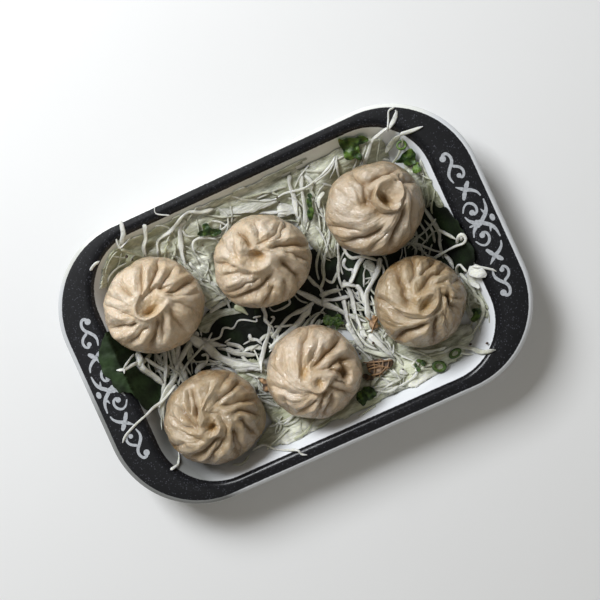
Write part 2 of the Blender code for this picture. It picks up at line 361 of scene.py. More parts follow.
FLOOR = ((34.0, 20.0, 23.5, 6.1), (40.0, 26.0, 19.6, 6.0), (60.0, 44.0, 12.0, 6.0))
PLATE_SECTION = FOOT + UNDERSIDE + OUTER_WALL + LIP + RIM + SHOULDER + INNER_WALL + FLOOR
CORNER_STEPS = 26
SIDE_STEPS = 10
WELL_LEVEL = 6.0

# The print's two borders: half length, half width and corner radius. What follows them is in metres.
PRINT_OUTER = (111.4, 73.9, 44.7)
PRINT_INNER = (91.7, 67.4, 31.0)
PRINT_LEVEL = (0.0222, 0.0226)  # the print begins between these heights
PRINT_SOFTNESS = 0.0001
PRINT_RAGGEDNESS = 0.0004
SHINY_BORDER = (0.002, 0.005)  # how wide the polished strip along the inner border is
SHINY_BY = 0.4
FAR_SIDE = (0.056, 0.062)  # where along Y the far wall takes a yellow-green tint, partly the wet cabbage on it and partly painted light that brightens the wall where it lies in shade
FAR_SIDE_COLOUR = (0.86, 0.86, 0.76)
FAR_SIDE_SHARE = 0.5
# Painted shade on the left wall of the well: a dark colour mixed into the white where the wall lies in
# shade.
WALL_SHADE_COLOUR = (0.035, 0.034, 0.017)
WALL_SHADE_EDGE = (-0.077, -0.088)  # where along X the painted shade begins and is at its full strength
WALL_SHADE_CORNER = (0.045, 0.6)  # how far along -Y the free corner begins, and how steeply it cuts in
WALL_SHADE_SIDES = {"low": 0.012, "high": -0.012, "start": 0.42, "end": 0.94}  # along Y
WALL_SHADE_RISE = {"low": 0.010, "high": 0.0225, "start": 1.0, "end": 0.78}  # up the wall


def rounded_ring(half_length, half_width, radius, height):
    """Points round a rectangle with round corners, anticlockwise."""
    corners = []
    for corner, (side_x, side_y) in enumerate(((1, 1), (-1, 1), (-1, -1), (1, -1))):
        turns = np.radians(90.0 * (corner + np.linspace(0.0, 1.0, CORNER_STEPS + 1)))
        middle = (side_x * (half_length - radius), side_y * (half_width - radius))
        corners.append(middle + radius * np.column_stack([np.cos(turns), np.sin(turns)]))
    parts = []
    for corner, following in zip(corners, corners[1:] + corners[:1]):
        parts += [corner, np.linspace(corner[-1], following[0], SIDE_STEPS + 1)[1:-1]]
    ring = np.concatenate(parts)
    return np.column_stack([ring, np.full(len(ring), height)])


def plate_half_sizes():
    """The plate's half length and half width in millimetres, from the frame."""
    low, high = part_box("plate")
    return (high.x - low.x) / 2 / MM, (high.y - low.y) / 2 / MM


def plate_mesh():
    """The plate: foot, sloped walls, rolled lip, a flat rim wide at the ends, and the well."""
    half_length, half_width = plate_half_sizes()
    sizes = [(half_length - end, half_width - side, *rest) for end, side, *rest in PLATE_SECTION]
    return outward(loft_mesh("plate_body", [rounded_ring(*size) for size in sizes]))


def plate_surface():
    """A tree that finds the height of the plate's top at a place."""
    mesh = bpy.data.objects["plate_body"].data
    points = [vert.co.copy() for vert in mesh.vertices]
    return BVHTree.FromPolygons(points, [tuple(face.vertices) for face in mesh.polygons])


def height_on(tree, x, y):
    """Height in millimetres of a surface under a place in millimetres."""
    hit = tree.ray_cast(Vector((x * MM, y * MM, 0.2)), Vector((0.0, 0.0, -1.0)))[0]
    return hit.z / MM if hit else WELL_LEVEL


def left_wall_shade_mask(tree, axes):
    """Where painted shade darkens the left wall of the well, which lies in shade beside the dumplings: most
    low on it, none at one corner.
    """
    beyond, slant = WALL_SHADE_CORNER
    low = math_node(tree, "MINIMUM", plus(tree, axes["Y"], beyond), 0.0)
    share = remap(tree, plus(tree, axes["X"], times(tree, low, slant)), *WALL_SHADE_EDGE)
    share = times(tree, share, remap(tree, axes["Y"], **WALL_SHADE_SIDES))
    return times(tree, share, remap(tree, axes["Z"], **WALL_SHADE_RISE))


def melamine_finish(settings):
    """White melamine, printed satin black with fine speckles between the two borders of the rim."""
    made, tree, shader, place = new_finish("printed_melamine")
    ragged = times(tree, minus(tree, noise_node(tree, place, 900.0), 0.5), PRINT_RAGGEDNESS)
    inside = []
    for half_length, half_width, radius in (PRINT_OUTER, PRINT_INNER):
        values = {"Half Length": half_length * MM, "Half Width": half_width * MM, "Radius": radius * MM}
        distance = use_group(tree, border_group(), {"Place": place, **values})
        inside.append(remap(tree, plus(tree, distance, ragged), -PRINT_SOFTNESS, PRINT_SOFTNESS))
    band = times(tree, minus(tree, 1.0, inside[0]), inside[1])
    axes = node(tree, "SeparateXYZ", {0: place}).outputs
    printed = times(tree, band, remap(tree, axes["Z"], *PRINT_LEVEL))
    cloudy = patches(tree, place, 45.0, 0.5, 0.25)
    white = mix_colour(tree, cloudy, settings.white, darker(settings.white, (0.95, 0.95, 0.95)))
    # partly painted light: the far wall, which lies in shade, is tinted paler and yellower
    far_side = remap(tree, axes["Y"], *FAR_SIDE, 0.0, FAR_SIDE_SHARE)
    white = mix_colour(tree, far_side, white, FAR_SIDE_COLOUR)
    # painted shade on the left wall of the well
    white = mix_colour(tree, left_wall_shade_mask(tree, axes), white, WALL_SHADE_COLOUR)
    speck = node(tree, "TexVoronoi", {"Vector": place, "Scale": 950.0}).outputs["Distance"]
    flecks = times(tree, remap(tree, speck, 0.34, 0.12), patches(tree, place, 500.0, 0.5, 0.1))
    dark = mix_colour(tree, flecks, settings.print_colour, darker(settings.print_colour, (9.0, 9.0, 9.2)))
    polish = remap(tree, distance, *SHINY_BORDER, SHINY_BY, 0.0)
    satin = minus(tree, uneven(tree, place, 700.0, 0.52, 0.66), polish)
    gloss = remap(tree, cloudy, 0.0, 1.0, 0.20, 0.27)
    colour = mix_colour(tree, printed, white, dark)
    roughness = node(tree, "Mix", {"Factor": printed, "A": gloss, "B": satin}, data_type="FLOAT").outputs[0]
    normal = grain(tree, place, 420.0, 2200.0, 0.00003)
    feed(tree, shader, {"Base Color": colour, "Roughness": roughness, "Normal": normal, "IOR": 1.32})
    return made


class MomoPlateVessel(bpy.types.PropertyGroup):
    """Colours of the plate and its print"""

    white: bpy.props.FloatVectorProperty(name="White", description="Colour of the melamine",
        default=(0.78, 0.80, 0.83), **COLOUR)
    print_colour: bpy.props.FloatVectorProperty(name="Print", description="Colour of the black rim",
        default=(0.0080, 0.0082, 0.0098), **COLOUR)
    ornament_colour: bpy.props.FloatVectorProperty(name="Ornament",
        description="Colour of the scrolls on the rim", default=(0.48, 0.50, 0.53), **COLOUR)
    ornament_lift: bpy.props.FloatProperty(name="Ornament lift",
        description="How far the scrolls stand above the rim", unit="LENGTH", min=0.0, default=0.00006)


class MOMO_OT_build_plate(bpy.types.Operator):
    """Builds the plate with its printed rim"""

    bl_idname = "momo.build_plate"
    bl_label = "Plate"

    def execute(self, context):
        finish = melamine_finish(context.scene.momo_vessel)
        add_piece("plate_body", plate_mesh(), finish, ("plate",))
        return {"FINISHED"}


# The scrolls on the right end, as strokes: half widths at the start, middle and end, then the path.
# The lower half repeats the upper one, and the left end mirrors the right.
ORNAMENT_MIDDLE = -1.0
STROKE_CAP = (0.8, 0.45)  # how far a stroke's end reaches, and its width, as shares of its half width
DOT_STATIONS = 11
DOT_END = 0.12
LIFT_STEP = 0.12  # how much higher each scroll lies than the one before, until it starts again
LIFT_LEVELS = 9
SUNK = 0.1  # how deep the scrolls reach into the rim
SCROLL_STROKES = (
    ((0.9, 0.7, 0.8), (98.4, 35.2, 99.1, 37, 100.8, 37.1, 102, 35.2, 102, 33, 101, 31)),
    ((0.8, 0.8, 0.35), (101, 31.2, 99.2, 29.2, 97.9, 27.2, 97.6, 25, 98.3, 22.4)),
    ((0.7, 0.65, 0.6), (101.6, 30, 104, 28.5, 105.1, 26.5, 104.8, 24.4, 103.4, 23.3, 102.3, 24.2)),
    ((0.5, 1.2, 0.9), (102.2, 16.8, 103.4, 18.4, 104.6, 19.8)),
    ((0.5, 1.1, 0.8), (102.2, 16.8, 100.9, 15, 99.6, 12.9)),
    ((1, 0.8, 0.2), (102.2, 16.8, 100.4, 18.2, 98.3, 19.9)),
    ((1, 0.7, 0.35), (102, 17, 105, 15.4, 107, 13.5, 107.8, 11.4)),
    ((0.35, 0.7, 0.6), (96.4, 6.8, 98, 9.2, 100.2, 10.2, 102.4, 9.1, 103.4, 6.8, 102.8, 4.6, 101.1, 3.9)),
    ((0.3, 0.6, 1), (96.4, 4.4, 97.4, 2.1, 99.2, 0.2)),
    ((1, 0.9, 0.35), (103.8, 0, 106.4, 2.2, 107.9, 5, 108.4, 9)),
    ((0.9, 0.5, 0.2), (106.4, 2.6, 105.6, 3.8, 105.2, 5)),
)
SCROLL_DOTS = (((98.3, 35.4), 1.6, 1.6), ((102.3, 24.6), 1.2, 1.2), ((100.5, 5.1), 1.4, 1.4),
    ((102.2, 16.8), 1.5, 1.3))
CENTRE_DOTS = (((101.4, -1.0), 2.9, 1.6), ((97.6, -1.0), 1.3, 0.55), ((108.7, -1.0), 1.3, 1.8),
    ((100.6, -1.0), 1.4, 2.1))


def stroke_strip(widths, path):
    """Pairs of points left and right of a stroke of changing width, with rounded ends."""
    line = smooth_path(path, 6)
    along = np.gradient(line, axis=0)
    along /= np.linalg.norm(along, axis=1)[:, None]
    half = np.interp(np.linspace(0.0, 1.0, len(line)), (0.0, 0.5, 1.0), widths)
    reach, narrow = STROKE_CAP
    stations = [(line[0] - along[0] * half[0] * reach, along[0], half[0] * narrow)]
    stations += list(zip(line, along, half))
    stations.append((line[-1] + along[-1] * half[-1] * reach, along[-1], half[-1] * narrow))
    strip = []
    for place, heading, wide in stations:
        across = np.array([-heading[1], heading[0]]) * wide
        strip.append((place + across, place - across))
    return strip


def dot_strip(middle, half_x, half_y):
    """Pairs of points across a small oval."""
    turns = np.linspace(DOT_END, math.pi - DOT_END, DOT_STATIONS)
    along, across = half_x * np.cos(turns), half_y * np.sin(turns)
    left = np.column_stack([middle[0] - along, middle[1] + across])
    return list(zip(left, np.column_stack([middle[0] - along, middle[1] - across])))


def ornament_strips():
    """Every shape of the scrolls, on both ends."""
    half = [stroke_strip(*stroke) for stroke in SCROLL_STROKES]
    half += [dot_strip(*dot) for dot in SCROLL_DOTS]
    flip = np.array([1.0, -1.0])
    shift = np.array([0.0, 2 * ORNAMENT_MIDDLE])
    lower = [[(left * flip + shift, right * flip + shift) for left, right in shape] for shape in half]
    shapes = half + lower + [dot_strip(*dot) for dot in CENTRE_DOTS]
    return shapes + [[(left * -flip, right * -flip) for left, right in shape] for shape in shapes]


def ornament_mesh(lift):
    """Thin raised shapes laid on the rim, each at a slightly different height."""
    surface = plate_surface()
    made = []
    for index, strip in enumerate(ornament_strips()):
        top = lift / MM * (1.0 + LIFT_STEP * (index % LIFT_LEVELS))
        rings = []
        for left, right in strip:
            low, high = height_on(surface, *left), height_on(surface, *right)
            upper = ((*left, low + top), (*right, high + top))
            rings.append((*upper, (*right, high - SUNK), (*left, low - SUNK)))
        made.append(loft_mesh(f"scroll_{index}", rings))
    return joined("rim_scrolls", made, smooth=False)


def ornament_finish(settings):
    """Pale grey satin print, slightly worn."""
    made, tree, shader, place = new_finish("scroll_print")
    worn = patches(tree, place, 900.0, 0.45, 0.18)
    base = settings.ornament_colour
    colour = mix_colour(tree, worn, darker(base, (0.72, 0.72, 0.72)), base)
    feed(tree, shader, {"Base Color": colour, "Roughness": uneven(tree, place, 800.0, 0.35, 0.5)})
    return made


class MOMO_OT_build_ornament(bpy.types.Operator):
    """Lays the scrolls on both ends of the rim"""

    bl_idname = "momo.build_ornament"
    bl_label = "Rim scrolls"

    def execute(self, context):
        settings = context.scene.momo_vessel
        add_piece("rim_scrolls", ornament_mesh(settings.ornament_lift), ornament_finish(settings))
        return {"FINISHED"}


# ---------------------------------------------------------------- the dumplings

MOMO_BASE = 10.8
MOMO_TOP = 44.75
MOMO_COLUMNS = 360
MOMO_TOP_ROWS = 128
MOMO_LOWER_ROWS = 22
FOLD_START = 2.6  # how far a fold begins before its path, nearer the knot
FOLD_FADE = 8.5  # how far a fold runs on past its path while it fades
GOLDEN_BELOW = 4.2  # pits narrower than this are golden inside, wider ones only a share of it; the gold in a pit is partly the dough's colour and partly painted shade in the hollow
WIDE_GOLDEN = 0.5
DARK_BEYOND = 9.0  # pits further than this from the knot are dark hollows
BRAN_COLOUR = (0.30, 0.19, 0.10)
OUTLINE_WAVES = ((3.0, 0.012), (5.0, 0.008))  # waves round the outline: how many, and how high
FOLD_BEGINS, FOLD_ENDS = 0.2, 0.36  # the shares of its path over which a fold begins and ends
LEAN_EFFECT = 0.6  # how much steeper a leaning fold is on one side and flatter on the other
# A fold's section, in half widths from its line: two grooves, each with its depth and width, and a swell
# with its height, its place and its width.
BROAD_GROOVE, SHARP_GROOVE, SWELL = (0.74, 2.0), (0.26, 0.55), (0.22, 2.9, 1.3)
FOLD_LIMIT = -4.6  # the skin sinks only slowly below this
SLOW_SHARE = 0.35
FOLDED_TO = 34.0  # how far down the skin, measured over it from the knot, the fine rows go
MEAN_RADIUS = 24.0
MEAN_HEIGHT = 33.0
FOLD_WANDER = 0.7  # how far noise bends the folds sideways, and the size of those bends
WANDER_SIZE = 5.0
PROBE = 0.05  # a short step over the skin and a small angle round it, to find which way it faces
PROBE_ANGLE = 0.004
FLAP_FOCUS = 8  # how narrow a flap is
FLAP_LEVEL, FLAP_SPAN = 0.13, 0.3  # how far up it sits and how far it spreads, as shares of the height
EVEN_BASE = 6.0  # the skin grows uneven over this height above its base
PIT_RIM, PIT_SLOPE = 1.16, 1.1  # a pit falls from this share of its reach, over this much
PIT_ROUNDNESS = 0.9
STREAK_HEIGHT = 0.45  # how much the streaks that run down into a pit stand out
LIP_FOCUS = 1.6  # how closely a lip keeps to its high side
LIP_WAVES = ((2.0, 0.25), (5.0, 0.15))  # waves along a lip: how many, and how high
DENTS = ((8.5, 0.9), (3.4, 0.14))  # dents in the dough: their size and how deep they are
WRINKLES = ((6.0, 0.5), (13.0, 0.06))  # wrinkles along the folds: how close and how deep they are
PIT_EDGE, PIT_RUN = 1.05, 0.8  # a pit's tint begins at this share of its reach, and is full this much in
HOLLOW_SHADE = 0.8  # how dark the painted shade in a hollow away from the knot is
PIT_SHADE = 0.4  # how dark the painted shade in the middle of a golden pit is
SMOOTH_PITS = 0.7  # how much shallower the folds are in a golden pit
# The faint gold round the knot: its strength, how far it reaches, and over what it fades.
KNOT_GOLD, KNOT_REACH, KNOT_RUN = 0.22, 15.0, 11.0
FOLD_SHADE_FROM, FOLD_SHADE_RUN = 1.0, 3.0  # how deep a fold is where its painted shade begins, and until it is full
SIDE_BELOW, SIDE_RUN = 40.0, 13.0  # the darker tint low on the sides, partly soaked dough and partly painted shade, begins below this height and is full that much lower
TWIST_LIMIT = 1.4  # only folds whose end is this many times as far out as their start tell the twist
DOUGH_COAT = {"Coat Roughness": 0.12, "Coat IOR": 1.8, "IOR": 1.42}
DOUGH_DEPTH = {"Subsurface Weight": 0.2, "Subsurface Radius": (1.0, 0.55, 0.3), "Subsurface Scale": 0.0012}

# The section of a smooth dumpling from its top to its base: shares of its radius and of its height.
MOMO_SECTION = (
    (0, 1), (0.12, 0.997), (0.21, 0.99), (0.36, 0.965), (0.58, 0.9), (0.79, 0.78), (0.94, 0.6), (1, 0.36),
    (0.95, 0.2), (0.86, 0.13), (0.62, 0), (0, 0),
)


# One dumpling's tone and golden spots, place and size, its knot's place, the angle and reach of a flap,
# and the pits, lips and folds of its top.
Momo = namedtuple("Momo", "tone spots centre reach height wave knot skirt pits lips folds")

# Pits: middle from the knot, half length, half width, turn, depth, and its deepest point from its middle.
# Lips: middle from the knot, half length, half width, turn, height, width, and its highest side.
# Folds: depth, half width, lean, and the path, an angle and a distance from the knot for each point.
MOMOS = {
    "momo_1": Momo(
        (1.1, 1.1, 1.1), 0.2, (-64.2, 29), (25.8, 24.2), 33.3, (15, 26), (0.6, 1.5), (0, 0),
        (((3, -0.2), 9.6, 6.4, 27, 3, (-4, -4)), ((-0.2, -4.2), 4.6, 1.9, 12, 3.2, (-0.8, -0.6))),
        (((3, -0.2), 9.6, 6.8, 27, 1.3, 2.2, 120), ((2.6, -0.8), 9, 6.2, 27, 1.6, 0.9, -125)),
        (
            (1.9, 1.3, 0, (5, 11.6, 3, 16.1, 5, 20.1, 7, 27.1)),
            (1.3, 1.2, 0, (25, 10.5, 29, 14.9, 32, 20.9)),
            (1.9, 1.3, 0, (51, 6.7, 51, 11.7, 53, 15.7, 53, 20.7, 55, 24.7)),
            (1.7, 1.2, 0, (91, 4.5, 82, 8.6, 80, 12.6, 78, 17.6, 77, 21.6)),
            (1.5, 1.1, 0, (126, 7.5, 127, 9.5, 123, 12.5, 119, 17.5)),
            (0.9, 1, 0, (151, 12.6, 145, 16.6, 143, 20.6)),
            (1.1, 1, 0, (-159, 9, -171, 10.4, 178, 11.8, 167, 14.2, 159, 19.7)),
            (1.8, 1.5, 0, (-138, 11.2, -148, 12.6, -158, 15, -166, 17.9, -170, 20.9)),
            (1.4, 1.1, 0, (-114, 12.6, -125, 14.3, -132, 17.2, -138, 20.2)),
            (2.1, 1.9, 0, (-78, 9.5, -87, 12, -97, 14.9, -104, 18.4, -112, 23.4)),
            (1.3, 1.2, 0, (-56, 9.5, -68, 11.5, -78, 14, -84, 16.5)),
            (1.5, 1.7, 0, (-32, 11.4, -41, 12.9, -50, 15.5, -53, 18.5, -56, 22.5)),
            (0.9, 1.2, 0, (-18, 12.8, -22, 17.3, -26, 21.4, -29, 25.4)),
            (0.6, 1, 0, (-5, 12.2, -7, 16.2, -8, 20.2, -9, 25.2)),
            (1, 1, 0.6, (112, 2.9, 87, 3.2, 67, 3.8, 54, 5.1, 41, 7.6, 30, 9.5, 25, 11)),
        ),
    ),
    "momo_2": Momo(
        (1.06, 1.06, 1.06), 0.2, (-5, 26.5), (24.9, 23.4), 32.6, (14, 38), (-2, 3), (0, 0),
        (((0.8, -0.6), 7.4, 6.4, -20, 2.8, (1.4, 0.6)), ((2.4, -0.4), 4.4, 2.8, -50, 3.6, (1.6, 0.3))),
        (((0.8, -0.8), 7.6, 6.6, -20, 1.7, 1.7, -125),),
        (
            (1.9, 1.4, 0, (3, 10.1, 3, 13.1, 2, 17.2, 0, 22.2, -3, 27.2)),
            (1.2, 1.1, 0, (45, 7.3, 33, 9.9, 29, 12.9, 31, 17.9, 35, 21.9)),
            (1.2, 1, 0, (18, 15, 22, 19, 27, 21.9, 30, 25.9)),
            (2.3, 1.5, 0, (77, 5.2, 82, 7.6, 89, 11.5, 96, 15.5, 98, 18.5)),
            (1, 1.2, 0, (158, 7.4, 142, 9.1, 129, 11, 122, 12.5)),
            (0.8, 1, 0, (147, 11.6, 139, 15.6, 133, 19.5, 130, 23.5)),
            (1.5, 1.2, 0, (-177, 10.3, 174, 12.8, 166, 15.7, 161, 18.7, 160, 21.7)),
            (1.3, 1.4, 0, (-117, 8.8, -137, 9.7, -157, 10.5, -168, 12.9, -175, 15.9)),
            (1.5, 1.2, 0, (-99, 10.9, -118, 12.8, -136, 14.2, -146, 17.1, -154, 21)),
            (2.2, 1.7, 0, (-62, 12.5, -80, 13.5, -99, 15.4, -121, 17.8, -136, 20.7, -147, 25.1)),
            (1.6, 1.2, 0, (-84, 18, -93, 20, -101, 22.4, -107, 25.4)),
            (1.1, 1, 0, (-62, 19, -68, 21.5, -76, 24.5)),
            (2.2, 1.7, 0, (-30, 14.4, -37, 17.4, -42, 20.4, -45, 23.5)),
            (1.2, 1, 0, (-10, 16.2, -14, 19.3, -18, 22.3, -20, 25.3)),
            (0.9, 1.1, 0, (50, 10.8, 56, 13.2, 63, 16.2)),
        ),
    ),
    "momo_3": Momo(
        (0.88, 0.87, 0.86), 0.35, (57.5, 27), (25, 23.3), 33, (11, 46), (8, 3.6), (0, 0),
        (((1.9, -1.8), 7.4, 6.2, 118, 2.4, (-3.6, -0.8)), ((-2.2, -3), 5.8, 2.3, 112, 5.2, (-0.6, -0.2))),
        (((1.6, -1.8), 8.2, 7, 125, 2.2, 1.4, -165), ((2.2, -1.8), 8.8, 7.6, 125, 1, 1.8, -50)),
        (
            (1.6, 1.1, 0.5, (121, 7.1, 152, 7.2, -177, 8.1, -147, 9, -118, 9.6, -89, 10.5, -60, 11, -39,
                9.8)),
            (1.8, 1.4, 0.4, (-162, 9.7, -177, 10, 157, 10.2, 138, 11, 125, 12.3, 115, 15, 107, 18.5, 101,
                22.5)),
            (1, 1, 0, (-180, 11, 165, 11.7, 149, 12.8, 137, 14.5)),
            (2.2, 2, 0, (123, 10.5, 105, 11.1, 87, 12.1, 71, 13.8, 55, 16.1, 46, 18.8, 41, 21.8)),
            (1.7, 1.6, 0, (15, 12, 13, 15.1, 16, 19, 14, 23.1, 12, 26.1)),
            (2.1, 1.6, 0, (-51, 13.1, -62, 14.9, -78, 16.9, -88, 19.1, -92, 22.5)),
            (1.9, 1.4, 0, (-112, 14.4, -121, 17.3, -133, 19.6, -145, 22.7)),
            (0.9, 1, 0, (-100, 16.4, -107, 18.8, -114, 21.3)),
            (1.2, 1.2, 0, (-148, 18.4, -162, 20, -172, 22.2, -177, 24.8)),
            (1.3, 1.6, 0, (-21, 16.9, -35, 19, -47, 21.9, -52, 25.5)),
            (0.9, 1.6, 0, (180, 13.3, 161, 14.7, 146, 17.6, 138, 20.6)),
            (1.2, 1.3, 0, (27, 8.4, 23, 11, 26, 13.9)),
            (-0.9, 1.3, 0, (-60, 6.8, -35, 7.2, -10, 7.6, 8, 8.6)),
        ),
    ),
    "momo_4": Momo(
        (0.78, 0.755, 0.68), 1, (59, -24.5), (23, 23), 32, (13, 44), (4, -2), (0, 0),
        (((-2, 0), 5.4, 2.9, 24, 3.4, (-1.2, -0.3)), ((10.4, -3.4), 5.4, 2.4, 80, 3, (0.2, 0.2))),
        (((-2, 0), 6.4, 4, 24, 1.7, 1, -50), ((-2, 0.4), 7, 4.8, 24, 1.2, 1.8, 120)),
        (
            (2.1, 1.7, 0, (-92, 8.5, -96, 12.4, -95, 16.4, -93, 20.5, -93, 23.5)),
            (2, 1.5, 0, (-119, 11.3, -130, 14.2, -140, 17.7, -145, 22.1, -146, 25.1)),
            (1.2, 1.1, 0, (-140, 9.1, -156, 12, -170, 14.5, 177, 17.3)),
            (1.7, 1.4, 0, (10, 7.7, 3, 9.1, -6, 10.7, -24, 11.3, -29, 13.9, -32, 18.4)),
            (1, 1, 0, (-5, 11.2, -15, 14.3, -17, 18.3)),
            (0.8, 0.8, 0.4, (-93, 5.2, -61, 4.9, -34, 4.8, -10, 5.2)),
            (0.8, 0.9, 0, (50, 10.6, 40, 11.8, 32, 13.5)),
            (2, 1.5, 0, (123, 8.5, 101, 9, 83, 10, 68, 12, 58, 15.3, 45, 18.8, 36, 21.9, 32, 25.9)),
            (1.8, 1.3, 0, (78, 15.2, 66, 18.6, 57, 21.1, 51, 24.7, 48, 28.8)),
            (1.7, 1.3, 0, (112, 12.5, 100, 14.7, 89, 16.9, 82, 20.1, 78, 24.6, 77, 28.6)),
            (2.2, 1.7, 0, (174, 12, 157, 12.2, 139, 13.6, 123, 15.5, 115, 18.9, 108, 21.9, 104, 25.5)),
            (1, 1.2, 0, (-178, 15.6, 168, 17.3, 159, 19.7, 155, 23.6)),
            (0.9, 1.4, 0, (11, 19.1, 8, 21.6, 7, 25.1)),
            (0.8, 1.3, 0, (-37, 12.9, -40, 17.4, -47, 21.5, -60, 24.5)),
            (0.7, 1.2, 0, (-62, 9.5, -66, 14.5, -70, 19.5)),
        ),
    ),
    "momo_5": Momo(
        (1.03, 1.02, 1.02), 0.45, (-4, -35), (24.2, 23.6), 32.6, (15, 34), (-0.4, -3.4), (0, 0),
        (
            ((2.2, -1.6), 3.2, 2.6, 70, 1.9, (0.2, 0.3)),
            ((-2.6, 6.6), 4.8, 2.6, 60, 3.2, (-0.6, -0.4)),
            ((16.8, -6), 6, 4.6, 75, 3, (0, 0)),
        ),
        (((1.8, -1.8), 4.3, 4, 0, 1.6, 1.4, -130),),
        (
            (1.8, 1.3, 0, (38, 7.2, 26, 8.7, 16, 11, 13, 15.1, 9, 19.1, 2, 22.7)),
            (2.3, 1.8, 0, (76, 7.6, 60, 9.1, 48, 11.8, 39, 14.8, 33, 17.9, 29, 21.9, 28, 24.9)),
            (0.9, 0.9, 0, (94, 8.5, 79, 10.2, 67, 12, 62, 14.7)),
            (1.5, 1.1, 0, (116, 8.9, 101, 11.3, 91, 14.1, 85, 17.5, 78, 21.6, 74, 25.1)),
            (0.8, 1.2, 0, (153, 13.2, 142, 16.6, 127, 19.1)),
            (0.8, 1.2, 0, (157, 16.2, 151, 19.6, 148, 23.6)),
            (1.1, 1.1, 0, (-163, 10.3, -171, 13.5, -179, 16.3, 176, 19.8)),
            (0.8, 1.2, 0, (-167, 18.9, -159, 22, -152, 25.1)),
            (1.2, 1, 0, (-108, 10.2, -116, 13.3, -125, 16.7, -131, 20.2)),
            (1.5, 1.1, 0.3, (-60, 9.1, -78, 9.5, -89, 11.5, -96, 14.6, -102, 18.4, -107, 23.4, -109, 27.4)),
            (1.8, 1.3, 0, (-62, 11.5, -71, 14.5, -77, 17.5, -88, 19.9, -95, 22.4, -99, 26.4)),
            (1.8, 1.4, 0, (-42, 8.8, -46, 11.5, -49, 14.5, -51, 18.5, -53, 22.5)),
            (1.6, 1.2, 0, (-22, 11.7, -29, 13.2, -34, 15.8)),
            (2.2, 3, 0, (-25, 17.4, -19, 18.3, -11, 18.3)),
            (1.2, 1, 0, (9, 11.1, -4, 13.2, -13, 15.7)),
            (1.1, 0.9, 0.5, (-145, 5.9, -116, 6.2, -90, 7.1, -74, 8.3, -55, 8.1, -40, 8.4)),
        ),
    ),
    "momo_6": Momo(
        (0.81, 0.78, 0.71), 0.9, (-60, -35), (25, 23.8), 33, (16, 34), (-0.6, -2), (-32, 3.4),
        (((1, -0.9), 5.4, 4.1, 60, 1.8, (0.6, 0)), ((1.5, -1), 2.2, 1.7, 20, 2.6, (0.1, 0.1))),
        (((1.2, -1), 4.8, 4.2, 60, 1.3, 1.2, -70),),
        (
            (2, 1.4, 0, (-66, 8.5, -87, 8.7, -102, 9.8, -113, 12.4, -121, 15.3, -130, 18.8, -138, 23.2)),
            (1.8, 1.3, 0, (-62, 10.5, -80, 12.5, -94, 14.6, -105, 17, -112, 20.4, -120, 25.3)),
            (1.7, 1.5, 0, (-30, 12, -45, 14.3, -57, 16.5, -66, 20.1, -74, 23.9, -76, 27.5)),
            (0.9, 0.9, 0, (-35, 13.4, -51, 16.5, -60, 20.5, -67, 25.5, -72, 29.5)),
            (1.7, 1.2, 0, (-17, 16.7, -27, 19.6, -34, 22.4, -39, 25.8)),
            (1.5, 1.2, 0, (1, 14.2, -3, 18.2, -8, 21.6, -14, 25.3, -17, 28.3)),
            (1.5, 1.1, 0, (34, 11.7, 20, 14, 13, 17.1, 9, 20.5, 5, 24.1, 2, 28.2)),
            (1.6, 1, 0, (47, 12.4, 38, 16.2, 33, 19.9, 30, 24.5)),
            (1.9, 1.3, 0, (115, 8.1, 106, 10.3, 102, 12.9, 99, 15.5)),
            (1.1, 0.9, 0, (118, 11.9, 112, 14.5, 108, 16.5)),
            (1.8, 1.2, 0, (163, 6.5, 148, 8.6, 138, 11.6, 135, 14.5)),
            (1.3, 1, 0, (165, 8.7, 161, 12.7, 155, 16.1)),
            (0.9, 1, 0.4, (180, 5.4, 153, 5.7, 134, 6.3, 120, 7.7)),
            (1, 1.1, 0.3, (63, 7, 26, 7.7, -8, 8.2, -36, 9.4, -51, 10.3)),
            (0.9, 1.3, 0, (48, 18.8, 47, 22.8, 45, 27.8)),
            (1.1, 1.5, 0, (-137, 8.8, -155, 9.4, -172, 10.3, 177, 12.8)),
            (0.9, 1.6, 0, (-164, 16.9, -166, 20.9, -167, 24.9)),
            (1, 1.2, 0, (84, 10.2, 76, 12.6, 71, 15.6)),
            (-1.3, 1.4, 0, (134, 3.6, 92, 7.5, 67, 13, 60, 16)),
        ),
    ),
}


def steady_slopes(places, values):
    """Slopes at each place of a curve that never swings past its values."""
    steps = np.diff(places)
    rises = np.diff(values) / steps
    slopes = np.zeros(len(values))
    for i in range(1, len(values) - 1):
        before, after = rises[i - 1], rises[i]
        if before * after > 0:
            heavy = 2 * steps[i] + steps[i - 1]
            light = steps[i] + 2 * steps[i - 1]
            slopes[i] = (heavy + light) / (heavy / before + light / after)
    slopes[0], slopes[-1] = rises[0], rises[-1]
    return slopes


def steady_curve(places, values, at):
    """The values of that curve at other places."""
    slopes = steady_slopes(places, values)
    index = np.clip(np.searchsorted(places, at, side="right") - 1, 0, len(places) - 2)
    width = places[index + 1] - places[index]
    t = (at - places[index]) / width
    low, high = values[index], values[index + 1]
    held = low * (1 + 2 * t) * (1 - t) ** 2 + slopes[index] * width * t * (1 - t) ** 2
    return held + high * t * t * (3 - 2 * t) + slopes[index + 1] * width * t * t * (t - 1)


SECTION_SHARES, SECTION_LEVELS = np.transpose(MOMO_SECTION)
SECTION_STEPS = np.hypot(np.diff(SECTION_SHARES) * MEAN_RADIUS, np.diff(SECTION_LEVELS) * MEAN_HEIGHT)
SECTION_PLACES = np.concatenate(([0.0], np.cumsum(SECTION_STEPS)))


def oval_radius(halves, angles):
    """An oval's radius towards angles."""
    half_x, half_y = halves
    return half_x * half_y / np.hypot(half_y * np.cos(angles), half_x * np.sin(angles))


def flap_share(momo, angles):
    """How much of a dumpling's flap there is towards angles."""
    return np.maximum(np.cos(angles - math.radians(momo.skirt[0])), 0.0) ** FLAP_FOCUS


